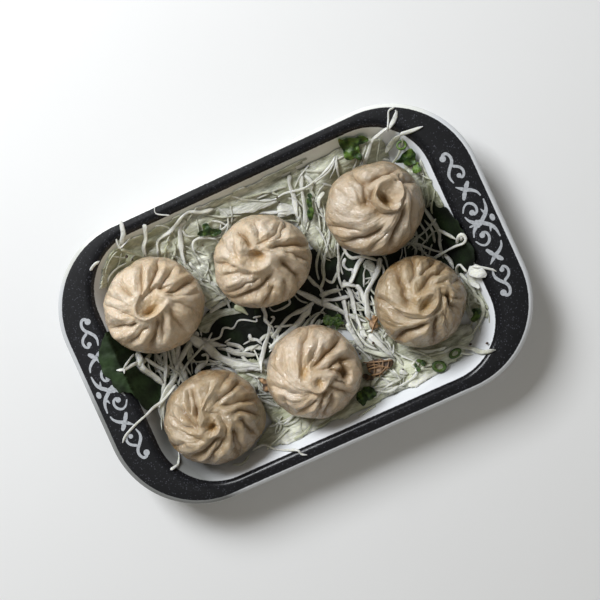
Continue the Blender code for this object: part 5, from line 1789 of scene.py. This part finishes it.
def lay_shred(heap, skeleton, points, width, tone, green, dice, spacing=0.9, wander=0.25, twist=0.5):
    """Lays one shred on the heap and adds it to a skeleton: its ends are cut slightly narrower."""
    path = even_path(points, spacing)
    count = len(path)
    along = np.linspace(0.0, 1.0, count)
    phase, turns = dice.uniform(0, math.tau), dice.uniform(0.5, 1.5) * count * spacing / WAVE_LENGTH
    path[:, 0] += wander * np.sin(phase + along * turns * 4.1)
    path[:, 1] += wander * np.cos(phase * 1.7 + along * turns * 3.3)
    thickness = width * skeleton.shape
    heights = heap.lay(path, width / 2, thickness)
    swell = 0.2 * np.sin(phase + along * turns * 3.0) + 0.1 * np.sin(phase * 2.0 + along * turns * 9.0)
    wide = width / 2 * (1.0 + swell)
    taper = dice.uniform(*ENDS_TAPER)
    wide *= np.clip(0.5 + along * count * spacing / BLUNT_LENGTH, 0.5, 1.0)
    wide *= np.clip(0.3 + (1.0 - along) * count * spacing / (taper * width), 0.3, 1.0)
    tilts = twist * np.sin(phase + along * turns * 2.0)
    heights = np.maximum(heights, np.minimum(heights + np.abs(np.sin(tilts)) * wide * 0.5, STRAND_TOP))
    skeleton.add(np.column_stack([path, heights]), wide, tilts, tone, green)


def in_gap(path):
    """Whether much of a path crosses a gap where the leaves show."""
    for middle_x, middle_y, half_x, half_y in GAPS:
        inside = np.hypot((path[:, 0] - middle_x) / half_x, (path[:, 1] - middle_y) / half_y) < 1.0
        if inside.mean() > GAP_SHARE:
            return True
    return False


def fill(heap, fine, ribbons, area, dice, density):
    """Scatters loose shreds over one area, along its flow."""
    (middle_x, middle_y), (half_x, half_y), flow, spread, many, widths, lengths, tones, green = area
    for _ in range(int(many * density)):
        x = middle_x + half_x * dice.uniform(-1, 1)
        y = middle_y + half_y * dice.uniform(-1, 1)
        heading = math.radians(flow + dice.gauss(0, spread * 0.6)) + math.pi * dice.randrange(2)
        bend = dice.gauss(0, LOOSE_BEND)
        length = dice.uniform(*lengths)
        points = []
        step = length / LOOSE_STEPS
        for _ in range(LOOSE_STEPS + 1):
            points.append((x, y))
            x += step * math.cos(heading)
            y += step * math.sin(heading)
            heading += bend * 0.5 + dice.gauss(0, LOOSE_WOBBLE)
        shift = np.array(points[2]) - np.array(points[0])
        spacing = length / LOOSE_SPACES
        path = even_path(np.array(points) - shift, spacing)
        beyond = border_distance(*path.T, *WELL_TOP)
        if beyond.max() > -LOOSE_MARGIN or in_gap(path):
            continue
        width = dice.uniform(*widths)
        skeleton = ribbons if width > RIBBON_FROM else fine
        tone = dice.uniform(*tones)
        tint = max(0.0, green + dice.gauss(0, LOOSE_TINT))
        lay_shred(heap, skeleton, path, width, tone, tint, dice, spacing, wander=0.1)


@cache
def strand_group():
    """A node tree that sweeps a flattened round section along each line, and closes its ends."""
    group = bpy.data.node_groups.new("swept_shreds", "GeometryNodeTree")
    sockets = {"Lines": "Geometry", "Sides": "Int", "Thickness Share": "Float", "Material": "Material"}
    for label, kind in sockets.items():
        group.interface.new_socket(name=label, in_out="INPUT", socket_type="NodeSocket" + kind)
    group.interface.new_socket(name="Shreds", in_out="OUTPUT", socket_type="NodeSocketGeometry")
    given = group.nodes.new("NodeGroupInput").outputs
    result = group.nodes.new("NodeGroupOutput").inputs["Shreds"]

    def step(kind, output, inputs, **settings):
        return node(group, kind, inputs, "GeometryNode", **settings).outputs[output]

    def named(label):
        return step("InputNamedAttribute", "Attribute", {"Name": label}, data_type="FLOAT")

    lines = step("MeshToCurve", "Curve", {"Mesh": given["Lines"]})
    upright = step("SetCurveNormal", "Curve", {"Curve": lines}, mode="Z_UP")
    tilted = step("SetCurveTilt", "Curve", {"Curve": upright, "Tilt": named("tilt")})
    circle = step("CurvePrimitiveCircle", "Curve", {"Resolution": given["Sides"], "Radius": 1.0})
    flat = node(group, "CombineXYZ", {"X": 1.0, "Y": given["Thickness Share"], "Z": 1.0}).outputs["Vector"]
    section = step("Transform", "Geometry", {"Geometry": circle, "Scale": flat})
    sweep = {"Curve": tilted, "Profile Curve": section, "Scale": named("half_width"), "Fill Caps": True}
    smooth = step("SetShadeSmooth", "Geometry", {"Geometry": step("CurveToMesh", "Mesh", sweep)})
    real = step("RealizeInstances", "Geometry", {"Geometry": smooth})
    dressed = step("SetMaterial", "Geometry", {"Geometry": real, "Material": given["Material"]})
    group.links.new(dressed, result)
    return group


def swept(name, skeleton, finish, sides):
    """The shreds of one skeleton as one closed mesh."""
    group = strand_group()
    holder = bpy.data.objects.new(name + "_lines", skeleton.mesh(name + "_lines"))
    bpy.context.scene.collection.objects.link(holder)
    sweep = holder.modifiers.new("sweep", "NODES")
    sweep.node_group = group
    values = {"Sides": sides, "Thickness Share": skeleton.shape, "Material": finish}
    for item in group.interface.items_tree:
        if item.in_out == "INPUT" and item.name in values:
            sweep[item.identifier] = values[item.name]
    bpy.context.view_layer.update()
    evaluated = holder.evaluated_get(bpy.context.evaluated_depsgraph_get())
    mesh = bpy.data.meshes.new_from_object(evaluated)
    mesh.name = name
    holder.modifiers.remove(sweep)
    lines = holder.data
    bpy.data.objects.remove(holder)
    bpy.data.meshes.remove(lines)
    return outward(mesh)


def cabbage_finish(settings, name, fibres):
    """Wet raw cabbage: pale, a little translucent, greener and glassier in places, more or less fibrous."""
    made, tree, shader, place = new_finish(name)
    along = scaled(tree, place, (0.24, 1.0, 0.6))
    stringy = noise_node(tree, along, 620.0, 4.0, 0.6, 1.2)
    stringy = remap(tree, stringy, 0.3, 0.7, -0.5 * fibres, 0.5 * fibres)
    mottled = plus(tree, uneven(tree, place, 200.0, -0.2, 0.16), stringy)
    pale = plus(tree, attribute(tree, "tone"), mottled, clamp=True)
    # the dark end of the mix stands for glassy wet cabbage and, where tones are low, for painted shade
    colour = mix_colour(tree, pale, settings.glassy_and_shade, settings.pale)
    green = times(tree, attribute(tree, "green"), settings.greenness, clamp=True)
    wet = patches(tree, place, 240.0, 0.5, 0.15)
    raised = node(tree, "Bump", {"Height": stringy, "Distance": 0.0004, "Strength": 0.8}).outputs["Normal"]
    feed(tree, shader, {
        "Base Color": mix_colour(tree, green, colour, settings.green),
        "Roughness": remap(tree, wet, 0.0, 1.0, 0.52, 0.28),
        "Coat Weight": remap(tree, wet, 0.0, 1.0, 0.0, 0.3 - 0.25 * fibres),
        "Coat Roughness": 0.15,
        "IOR": 1.36,
        "Subsurface Weight": 0.5,
        "Subsurface Radius": (1.0, 1.0, 0.7),
        "Subsurface Scale": 0.0018,
        "Normal": grain(tree, place, 900.0, 2600.0, 0.00006, raised),
    })
    return made


class MomoPlateCabbage(bpy.types.PropertyGroup):
    """Amount and colours of the shredded cabbage"""

    density: bpy.props.FloatProperty(name="Filling",
        description="How much loose filling there is, as a share of the full amount", subtype="FACTOR",
        min=0.0, max=2.0, default=1.0)
    seed: bpy.props.IntProperty(name="Seed", description="Scatter of the loose filling", min=0, default=7)
    # colour at the dark end of the tones: glassy wet cabbage, and painted shade
    glassy_and_shade: bpy.props.FloatVectorProperty(name="Glassy cabbage",
        description="Colour where it is wet and translucent", default=(0.15, 0.155, 0.125), **COLOUR)
    pale: bpy.props.FloatVectorProperty(name="Pale cabbage", description="Colour where it is palest",
        default=(0.83, 0.83, 0.73), **COLOUR)
    green: bpy.props.FloatVectorProperty(name="Green cabbage", description="Colour of its greener parts",
        default=(0.50, 0.53, 0.30), **COLOUR)
    greenness: bpy.props.FloatProperty(name="Greenness", description="How strongly the greener parts show",
        subtype="FACTOR", min=0.0, max=1.0, default=0.7)


class MOMO_OT_build_cabbage(bpy.types.Operator):
    """Builds the matted cabbage and lays its shreds"""

    bl_idname = "momo.build_cabbage"
    bl_label = "Cabbage"

    def execute(self, context):
        settings = context.scene.momo_cabbage
        finish = cabbage_finish(settings, "wet_cabbage", fibres=0.35)
        matted = cabbage_finish(settings, "matted_cabbage", fibres=0.7)
        add_piece("cabbage_core", core_mesh("cabbage_core"), matted, ("cabbage",))
        heap = HeightMap(BELOW_SHREDS)
        fine, ribbons, broad = Skeleton(FINE_SHAPE), Skeleton(RIBBON_SHAPE), Skeleton(BROAD_SHAPE)
        dice = random.Random(settings.seed)
        for width, tone, green, path in BROAD_PIECES:
            lay_shred(heap, broad, path, width, tone, green, dice, spacing=1.2, wander=0.3, twist=0.15)
        for area in FILLING:
            fill(heap, fine, ribbons, area, dice, settings.density)
        for width, tone, green, path in RIBBONS:
            lay_shred(heap, ribbons, path, width, tone, green, dice)
        for width, tone, green, path in FINE_STRANDS:
            lay_shred(heap, fine, path, width, tone, green, dice, spacing=0.8, wander=0.15)
        for name, skeleton, look, sides in (
            ("cabbage_leaf_pieces", broad, matted, BROAD_SIDES),
            ("cabbage_ribbons", ribbons, finish, STRAND_SIDES),
            ("cabbage_shreds", fine, finish, STRAND_SIDES),
        ):
            add_piece(name, swept(name, skeleton, look, sides), None)
        return {"FINISHED"}


# ---------------------------------------------------------------- herbs and browned bits

# Flat pieces of herb: how far they stand off, how curled and how light they are, and their outline.
HERB_PIECES = (
    (0.9, 1, 0.35, (55.6, 66.3, 57.2, 65.1, 60.2, 64.9, 65.3, 64.2, 68.3, 63.1, 69.3, 61.3, 67.7, 59.7,
        65.9, 61.7, 64.6, 60.9, 63.8, 57.3, 62.1, 53.6, 59, 54, 56.9, 55.2, 54.4, 57.5, 55, 61.4)),
    (0.7, 0.7, 0.2, (-25.3, 56.3, -22.7, 55.6, -22, 53.2, -18.7, 51.8, -17.6, 50.1, -20.2, 48.4, -23.3,
        49.6, -26.3, 51.1, -29.2, 52.6, -28, 54.1, -25.9, 53.8)),
    (1.6, 0.3, 0.3, (25.7, 36.9, 27.8, 36.7, 29.7, 40.9, 30.5, 45.6, 28.5, 46.3, 27, 41.9)),
    (0.8, 0.1, 0.5, (30.3, 47.7, 31.5, 47.7, 31.9, 46.2, 30.9, 45.7, 30.1, 46.6)),
    (2.2, 0.9, 0.35, (77.9, 44.6, 81, 46, 83.8, 47.8, 86.7, 47.3, 87.6, 43.5, 86.8, 40.6, 85.1, 39.3, 83,
        40.9, 81, 42.6)),
    (1.6, 0.5, 0.75, (82.6, 38.5, 86.5, 39.5, 87.2, 36, 85.1, 34.2, 83.3, 36)),
    (0.5, 0.7, 0.12, (10.9, -55.1, 13.5, -53.5, 18.2, -53, 19.6, -56.2, 19.2, -59.2, 15, -59.9, 12.5,
        -61.4, 10.5, -60.9, 10.1, -57.7)),
    (0.4, 0.5, 0.1, (81.7, -38.8, 85.7, -41.1, 84.2, -43.4, 80, -45.1, 79.5, -43.7, 81.3, -42.1)),
    (0.4, 0.1, 0.12, (43.1, -52, 44.6, -51.8, 45, -53.3, 43.6, -53.8)),
    (0.4, 0.1, 0.15, (43.2, -54.3, 45.2, -54.5, 45.5, -56.5, 43.8, -56.4)),
    (0.5, 0.2, 0.15, (45.4, -51.1, 47.9, -51, 49.2, -54.1, 47.5, -55.2, 46.2, -53.7)),
)

# Rings cut from a scallion: middle, half sizes, turn, half width of the wall and lightness.
SCALLION_RINGS = (
    ((83.1, 50.7), (2.2, 2.0), 0.0, 0.62, 0.45),
    ((54.8, -59.0), (2.9, 2.3), -35.0, 1.0, 0.12),
    ((64.8, -56.2), (2.7, 1.7), 12.0, 0.95, 0.1),
)
LEAFLET = ((-0.2, 0.0), (0.4, -0.34), (0.9, -0.22), (1.15, 0.0), (0.9, 0.24), (0.4, 0.34))
RING_HEIGHT = 1.3
RING_STEPS = 40
RING_SIDES = 10
FLAT_EDGE_POINTS = 56
FLAT_RINGS = 9
LIMP_BLUR = 1.5  # how far round a place a limp piece feels what it lies on
LIMP_SHARES = (0.55, 0.45)  # how far it follows the mean of that, and how far the highest place
LEAFLET_LEAN = 52.0
SPECK_FLATNESS, SPECK_LIFT = 0.6, 0.2  # shares of a speck's size
SPRIG_SEED = 11
BROWN_SEED = 5
BROWN_SHAPE = 0.45  # thickness of a browned shred as a share of its width

# A feathery sprig: its root, heading, length and how many pairs of leaflets.
SPRIGS = (
    ((10.6, -12.6), -38.0, 9.0, 6),
    ((19.0, -13.6), -120.0, 7.0, 5),
    ((-19.6, 50.2), 150.0, 5.0, 4),
)

# Browned pieces, outlined: thickness, how brown, and their outline.
BROWNED = (
    (1.5, 0.35, (34.9, -21.4, 36.2, -24, 35, -27, 33, -28.4, 31, -27.4, 32, -24)),
    (0.9, 0.9, (20.8, -42.4, 27, -43, 34.4, -46.6, 31, -49.6, 25, -51.4, 21.8, -48)),
    (0.8, 0.95, (17, -48.4, 19.4, -47.6, 21.8, -50, 20.4, -51.8, 18, -50.6)),
    (0.8, 0.55, (-32.6, -26.4, -30, -27.6, -29, -32, -30.6, -35.4, -32.4, -32.4, -31.8, -29.4)),
)
BROWN_SHREDS = (
    (0.8, 0.40, (20.4, -41.8, 26.4, -43.6, 34.8, -46.4)),
    (0.6, 0.45, (22.4, -50.8, 24.4, -46.6, 25.6, -42.4)),
    (0.7, 0.20, (21, -45.8, 26.8, -46.6, 31.8, -49.2)),
    (0.6, 0.50, (24.8, -51.6, 28, -47.8, 30.2, -43.8)),
    (0.7, 0.25, (21.4, -49, 26.2, -49.8, 30.4, -48.2)),
    (0.5, 0.50, (29.2, -50.4, 32, -47.2, 33.6, -44.6)),
    (0.5, 0.15, (20.8, -44.2, 25.4, -44.8, 29.6, -47.8)),
    (0.5, 0.60, (26.8, -51.8, 27.4, -47.2, 28, -43)),
    (0.8, 0.35, (31, -21, 33.4, -24.8, 36.4, -28.6)),
    (0.7, 0.20, (30.6, -29.2, 33.6, -25.6, 37, -23.2)),
)

# Loose dark specks: middle and size.
SPECKS = (
    (-67.2, 57.8, 1.5), (-65.8, 55.4, 1.0), (15.2, 53.4, 1.0), (15.2, 51.0, 0.9), (80.9, -57.3, 1.4),
    (73.8, -55.1, 1.3), (29.2, -34.4, 1.4), (27.0, -30.4, 1.1), (20.6, -36.9, 1.2), (47.6, -43.0, 0.9),
    (-30.2, 47.4, 1.0), (37.4, -52.8, 1.0), (12.8, -50.6, 0.9), (86.6, 33.0, 1.0), (60.4, 57.2, 0.9),
)


def turned(place, turn):
    """A place turned about the middle."""
    cosine, sine = math.cos(turn), math.sin(turn)
    return place[0] * cosine - place[1] * sine, place[0] * sine + place[1] * cosine


def resting(heap, x, y):
    """Heights at which a limp flat piece rests on the heap."""
    offsets = (-LIMP_BLUR, 0.0, LIMP_BLUR)
    spots = [heap.heights[heap.cells(x + step_x, y + step_y)] for step_x in offsets for step_y in offsets]
    return LIMP_SHARES[0] * np.mean(spots, axis=0) + LIMP_SHARES[1] * np.max(spots, axis=0)


def flat_piece(heap, name, outline, thickness, lift, curl, seed, ragged):
    """A thin piece that lies on the heap, its edge frilled and its middle rippled."""
    edge = closed_path(outline, FLAT_EDGE_POINTS, ragged, seed)
    middle = edge.mean(axis=0)

    def heights(x, y):
        away = np.hypot(x - middle[0], y - middle[1])
        ripple = rough(x, y, 2.4, seed) * 1.5 + rough(x, y, 1.1, seed + 3) * 0.5 * ease(away / 4.0)
        return resting(heap, x, y) + lift + thickness / 2 + curl * (ripple + 0.3)

    return shell_mesh(name, edge, middle, heights, thickness, FLAT_RINGS)


def herb_pieces(heap):
    """The flat pieces of herb as one mesh, with how light each place is."""
    made = []
    for order, (lift, curl, light, outline) in enumerate(HERB_PIECES, 1):
        mesh, flat = flat_piece(heap, f"herb_{order}", outline, 0.4, lift, curl, order + 50, ragged=0.9)
        store(mesh, "light", np.clip(light + rough(*flat.T, 2.2, order) * 1.1, 0.0, 1.0))
        made.append(mesh)
    dice = random.Random(SPRIG_SEED)
    for root, heading, length, pairs in SPRIGS:
        along = (math.cos(math.radians(heading)), math.sin(math.radians(heading)))
        for pair in range(2 * pairs + 1):
            share = (pair // 2 + 0.5) / pairs if pair < 2 * pairs else 1.0
            lean = 0.0 if pair == 2 * pairs else (LEAFLET_LEAN if pair % 2 else -LEAFLET_LEAN)
            turn = math.radians(heading + lean + dice.uniform(-14, 14))
            reach = length * (0.34 - 0.16 * share) * dice.uniform(0.8, 1.2)
            base = np.array(root) + np.array(along) * length * share
            outline = [base + reach * np.array(turned(place, turn)) for place in LEAFLET]
            name = f"leaflet_{len(made)}"
            mesh, flat = flat_piece(heap, name, outline, 0.3, lift=0.5, curl=0.4, seed=pair + 70,
                ragged=0.25)
            store(mesh, "light", np.full(len(flat), dice.uniform(0.1, 0.5)))
            made.append(mesh)
    return joined("herb_pieces", made)


def ring_piece(heap, name, middle, halves, turn, half_width, light):
    """A ring cut from a scallion, standing a little proud of the heap."""
    around = np.radians(np.linspace(0.0, 360.0, RING_STEPS, endpoint=False))
    section = [math.tau * step / RING_SIDES for step in range(RING_SIDES)]
    base = float(np.max(resting(heap, np.array([middle[0]]), np.array([middle[1]])))) + 0.2
    points = []
    for angle in around:
        for t in section:
            out = 1.0 + half_width * math.cos(t) / halves[0]
            place = (halves[0] * out * math.cos(angle), halves[1] * out * math.sin(angle))
            across, along = turned(place, math.radians(turn))
            wave = 0.25 * math.sin(2.0 * angle + math.radians(turn))
            level = base + wave + RING_HEIGHT / 2 * (1.0 + math.sin(t))
            points.append((middle[0] + across, middle[1] + along, level))
    last = (RING_STEPS - 1) * RING_SIDES
    closing = [(last + i, last + (i + 1) % RING_SIDES, (i + 1) % RING_SIDES, i) for i in range(RING_SIDES)]
    mesh = mesh_from(name, points, ring_faces(RING_STEPS, RING_SIDES) + closing)
    inner = [0.5 - 0.5 * math.cos(t) for t in section] * RING_STEPS
    store(mesh, "light", light + 0.55 * np.array(inner))
    return mesh


def browned_pieces(heap):
    """The outlined browned pieces as one mesh."""
    made = []
    for order, (thickness, brown, outline) in enumerate(BROWNED, 1):
        name = f"browned_{order}"
        mesh, flat = flat_piece(heap, name, outline, thickness, lift=0.15, curl=0.35, seed=order + 90,
            ragged=0.7)
        store(mesh, "brown", np.clip(brown + rough(*flat.T, 1.8, order) * 0.9, 0.0, 1.0))
        made.append(mesh)
    return joined("browned_pieces", made)


def speck_pieces(heap):
    """Loose dark specks, each a small uneven lump."""
    made = []
    for order, (x, y, size) in enumerate(SPECKS):
        bm = bmesh.new()
        bmesh.ops.create_icosphere(bm, subdivisions=2, radius=size / 2)
        base = float(resting(heap, np.array([x]), np.array([y]))[0])
        for vert in bm.verts:
            swell = 1.0 + 0.5 * noise.noise(vert.co * 1.6 + Vector((order * 3.1, 0.0, 0.0)))
            lump = Vector((vert.co.x, vert.co.y, vert.co.z * SPECK_FLATNESS)) * swell
            vert.co = (Vector((x, y, base + size * SPECK_LIFT)) + lump) * MM
        mesh = bpy.data.meshes.new(f"speck_{order}")
        bm.to_mesh(mesh)
        bm.free()
        store(mesh, "brown", np.full(len(mesh.vertices), 1.0))
        made.append(mesh)
    return joined("dark_specks", made)


def herb_finish(settings):
    """Fresh cut herb: a soft green sheen, lighter where it is torn or pale inside."""
    made, tree, shader, place = new_finish("fresh_herb")
    light = attribute(tree, "light")
    share = plus(tree, light, uneven(tree, place, 900.0, -0.16, 0.16), clamp=True)
    feed(tree, shader, {
        "Base Color": mix_colour(tree, share, settings.herb_dark, settings.herb_light),
        "Roughness": remap(tree, light, 0.0, 1.0, 0.55, 0.38),
        "Subsurface Weight": 0.15,
        "Subsurface Scale": 0.0006,
        "Normal": grain(tree, place, 1100.0, 3000.0, 0.0001),
    })
    return made


def browned_finish(settings):
    """Browned cooked bits: orange to dark brown, slightly oily."""
    made, tree, shader, place = new_finish("browned_bits")
    mottled = uneven(tree, place, 700.0, -0.2, 0.2)
    share = plus(tree, attribute(tree, "brown"), mottled, clamp=True)
    feed(tree, shader, {
        "Base Color": mix_colour(tree, share, settings.browned_light, settings.browned_dark),
        "Roughness": remap(tree, share, 0.0, 1.0, 0.4, 0.65),
        "Normal": grain(tree, place, 1000.0, 3200.0, 0.00014),
    })
    return made


class MomoPlateHerbs(bpy.types.PropertyGroup):
    """Colours of the herbs and the browned bits"""

    herb_dark: bpy.props.FloatVectorProperty(name="Dark herb", description="Colour of a herb in its folds",
        default=(0.010, 0.034, 0.003), **COLOUR)
    herb_light: bpy.props.FloatVectorProperty(name="Light herb",
        description="Colour of a herb where it is palest", default=(0.125, 0.22, 0.035), **COLOUR)
    browned_light: bpy.props.FloatVectorProperty(name="Browned",
        description="Colour of the lighter browned bits", default=(0.46, 0.27, 0.13), **COLOUR)
    browned_dark: bpy.props.FloatVectorProperty(name="Dark brown", description="Colour of the darkest bits",
        default=(0.042, 0.024, 0.014), **COLOUR)


class MOMO_OT_build_herbs(bpy.types.Operator):
    """Lays the herbs, the scallion rings and the browned bits on the cabbage"""

    bl_idname = "momo.build_herbs"
    bl_label = "Herbs"

    def execute(self, context):
        settings = context.scene.momo_herbs
        heap = HeightMap((*BELOW_SHREDS, "cabbage_leaf_pieces", "cabbage_ribbons", "cabbage_shreds"))
        green = herb_finish(settings)
        brown = browned_finish(settings)
        add_piece("herb_pieces", herb_pieces(heap), green)
        rings = [ring_piece(heap, f"ring_{i}", *ring) for i, ring in enumerate(SCALLION_RINGS)]
        add_piece("scallion_rings", joined("scallion_rings", rings), green)
        add_piece("browned_pieces", browned_pieces(heap), brown)
        add_piece("dark_specks", speck_pieces(heap), brown)
        heap = HeightMap((*BELOW_SHREDS, "cabbage_ribbons", "cabbage_shreds", "browned_pieces"))
        skeleton = Skeleton(BROWN_SHAPE)
        dice = random.Random(BROWN_SEED)
        for width, tone, path in BROWN_SHREDS:
            lay_shred(heap, skeleton, path, width, tone, 0.0, dice, spacing=0.8, wander=0.15)
        mesh = swept("browned_shreds", skeleton, brown, STRAND_SIDES)
        tones = np.zeros(len(mesh.vertices), np.float32)
        mesh.attributes["tone"].data.foreach_get("value", tones)
        store(mesh, "brown", tones)
        add_piece("browned_shreds", mesh)
        return {"FINISHED"}


# ---------------------------------------------------------------- the stage

CAMERA_PLACE = (35.22, -2.06, 526.1)
CAMERA_TURN = (-1.126, 3.311, -24.422)
CAMERA_LENS = 60.0
FLOOR_REACH = 3000.0
FLOOR_CORNERS = ((-1, -1), (1, -1), (1, 1), (-1, 1))
ROOM_COLOUR = (1.0, 0.965, 0.87, 1.0)
# The lights: place and size in metres, and colour.
WINDOW_LIGHT = ((-0.34, 0.84, 0.80), 0.5, (0.95, 0.975, 1.0))
LOW_FILL = ((-0.30, -0.85, 0.62), 0.9, (1.0, 0.97, 0.92))
LIGHT_TARGET = (0.0, 0.0, 0.02)


class MomoPlateStage(bpy.types.PropertyGroup):
    """Lights and floor"""

    key_power: bpy.props.FloatProperty(name="Key power", description="Power of the large window-like light",
        unit="POWER", min=0.0, default=17.5)
    fill_power: bpy.props.FloatProperty(name="Fill power",
        description="Power of the weak light across from it", unit="POWER", min=0.0, default=0.85)
    sky_strength: bpy.props.FloatProperty(name="Surrounding light",
        description="Strength of the even light all round", min=0.0, default=0.20)
    floor_colour: bpy.props.FloatVectorProperty(name="Floor", description="Colour of the floor",
        default=(0.82, 0.82, 0.82), **COLOUR)


def area_light(name, power, place, size, colour):
    """A square light that faces the plate."""
    data = bpy.data.lights.new(name, "AREA")
    data.shape = "SQUARE"
    data.size = size
    data.energy = power
    data.color = colour
    lamp = bpy.data.objects.new(name, data)
    lamp.location = place
    lamp.rotation_euler = (Vector(LIGHT_TARGET) - Vector(place)).to_track_quat("-Z", "Y").to_euler()
    bpy.context.scene.collection.objects.link(lamp)


def floor_finish(settings):
    """Plain pale matte floor with a barely visible unevenness."""
    made, tree, shader, place = new_finish("pale_floor")
    cloudy = patches(tree, place, 6.0, 0.5, 0.3)
    base = settings.floor_colour
    colour = mix_colour(tree, cloudy, base, darker(base, (0.985, 0.985, 0.985)))
    feed(tree, shader, {"Base Color": colour, "Roughness": remap(tree, cloudy, 0.0, 1.0, 0.8, 0.9)})
    return made


def lay_floor(scene, settings):
    """A flat floor that reaches far beyond the view."""
    corners = [(side_x * FLOOR_REACH, side_y * FLOOR_REACH, 0.0) for side_x, side_y in FLOOR_CORNERS]
    mesh = mesh_from("floor", corners, [(0, 1, 2, 3)], smooth=False)
    mesh.materials.append(floor_finish(settings))
    floor = bpy.data.objects.new("floor", mesh)
    scene.collection.objects.link(floor)


def light_room(scene, settings):
    """The two lights and the even light all round."""
    area_light("window_light", settings.key_power, *WINDOW_LIGHT)
    area_light("low_fill", settings.fill_power, *LOW_FILL)
    world = bpy.data.worlds.new("soft_room")
    world.use_nodes = True
    background = world.node_tree.nodes["Background"]
    background.inputs["Color"].default_value = ROOM_COLOUR
    background.inputs["Strength"].default_value = settings.sky_strength
    scene.world = world


def set_camera(scene):
    """The camera almost straight above the plate."""
    data = bpy.data.cameras.new("view")
    data.lens = CAMERA_LENS
    data.sensor_width = 36.0
    data.clip_start = 0.01
    camera = bpy.data.objects.new("view", data)
    camera.location = [value * MM for value in CAMERA_PLACE]
    camera.rotation_euler = [math.radians(value) for value in CAMERA_TURN]
    scene.collection.objects.link(camera)
    scene.camera = camera
    scene.view_settings.view_transform = "Standard"


class MOMO_OT_build_stage(bpy.types.Operator):
    """Lays the floor, hangs the lights and sets the camera"""

    bl_idname = "momo.build_stage"
    bl_label = "Stage"

    def execute(self, context):
        scene = context.scene
        lay_floor(scene, scene.momo_stage)
        light_room(scene, scene.momo_stage)
        set_camera(scene)
        return {"FINISHED"}


# ---------------------------------------------------------------- the panel and the run

BUILD_ORDER = (
    MOMO_OT_build_stage,
    MOMO_OT_build_plate,
    MOMO_OT_build_ornament,
    MOMO_OT_build_leaves,
    MOMO_OT_build_cabbage,
    MOMO_OT_build_herbs,
    MOMO_OT_build_dumplings,
)
SETTINGS = (
    ("momo_vessel", "Vessel", MomoPlateVessel),
    ("momo_leaves", "Leaves", MomoPlateLeaves),
    ("momo_cabbage", "Cabbage", MomoPlateCabbage),
    ("momo_herbs", "Herbs", MomoPlateHerbs),
    ("momo_dumplings", "Dough", MomoPlateDumplings),
    ("momo_stage", "Light", MomoPlateStage),
)


class MOMO_PT_sidebar(bpy.types.Panel):
    """Lists the pieces of the plate of dumplings"""

    bl_label = "Momo Plate"
    bl_idname = "MOMO_PT_sidebar"
    bl_space_type = "VIEW_3D"
    bl_region_type = "UI"
    bl_category = "Momo Plate"

    def draw(self, context):
        for name, label, _ in SETTINGS:
            group = getattr(context.scene, name)
            box = self.layout.box()
            box.label(text=label)
            for key in group.bl_rna.properties.keys():
                if key not in {"rna_type", "name"}:
                    box.prop(group, key)
        for operator in BUILD_ORDER:
            self.layout.operator(operator.bl_idname)


def register():
    """Registers the settings, the operators and the panel."""
    for name, _, group in SETTINGS:
        bpy.utils.register_class(group)
        setattr(bpy.types.Scene, name, bpy.props.PointerProperty(type=group))
    for kind in (*BUILD_ORDER, MOMO_PT_sidebar):
        bpy.utils.register_class(kind)


def unregister():
    """Takes them away again."""
    for kind in (MOMO_PT_sidebar, *reversed(BUILD_ORDER)):
        bpy.utils.unregister_class(kind)
    for name, _, group in reversed(SETTINGS):
        delattr(bpy.types.Scene, name)
        bpy.utils.unregister_class(group)


def main():
    """Builds every piece in order."""
    register()
    for operator in BUILD_ORDER:
        getattr(bpy.ops.momo, operator.bl_idname.removeprefix("momo."))()


if __name__ == "__main__":
    main()
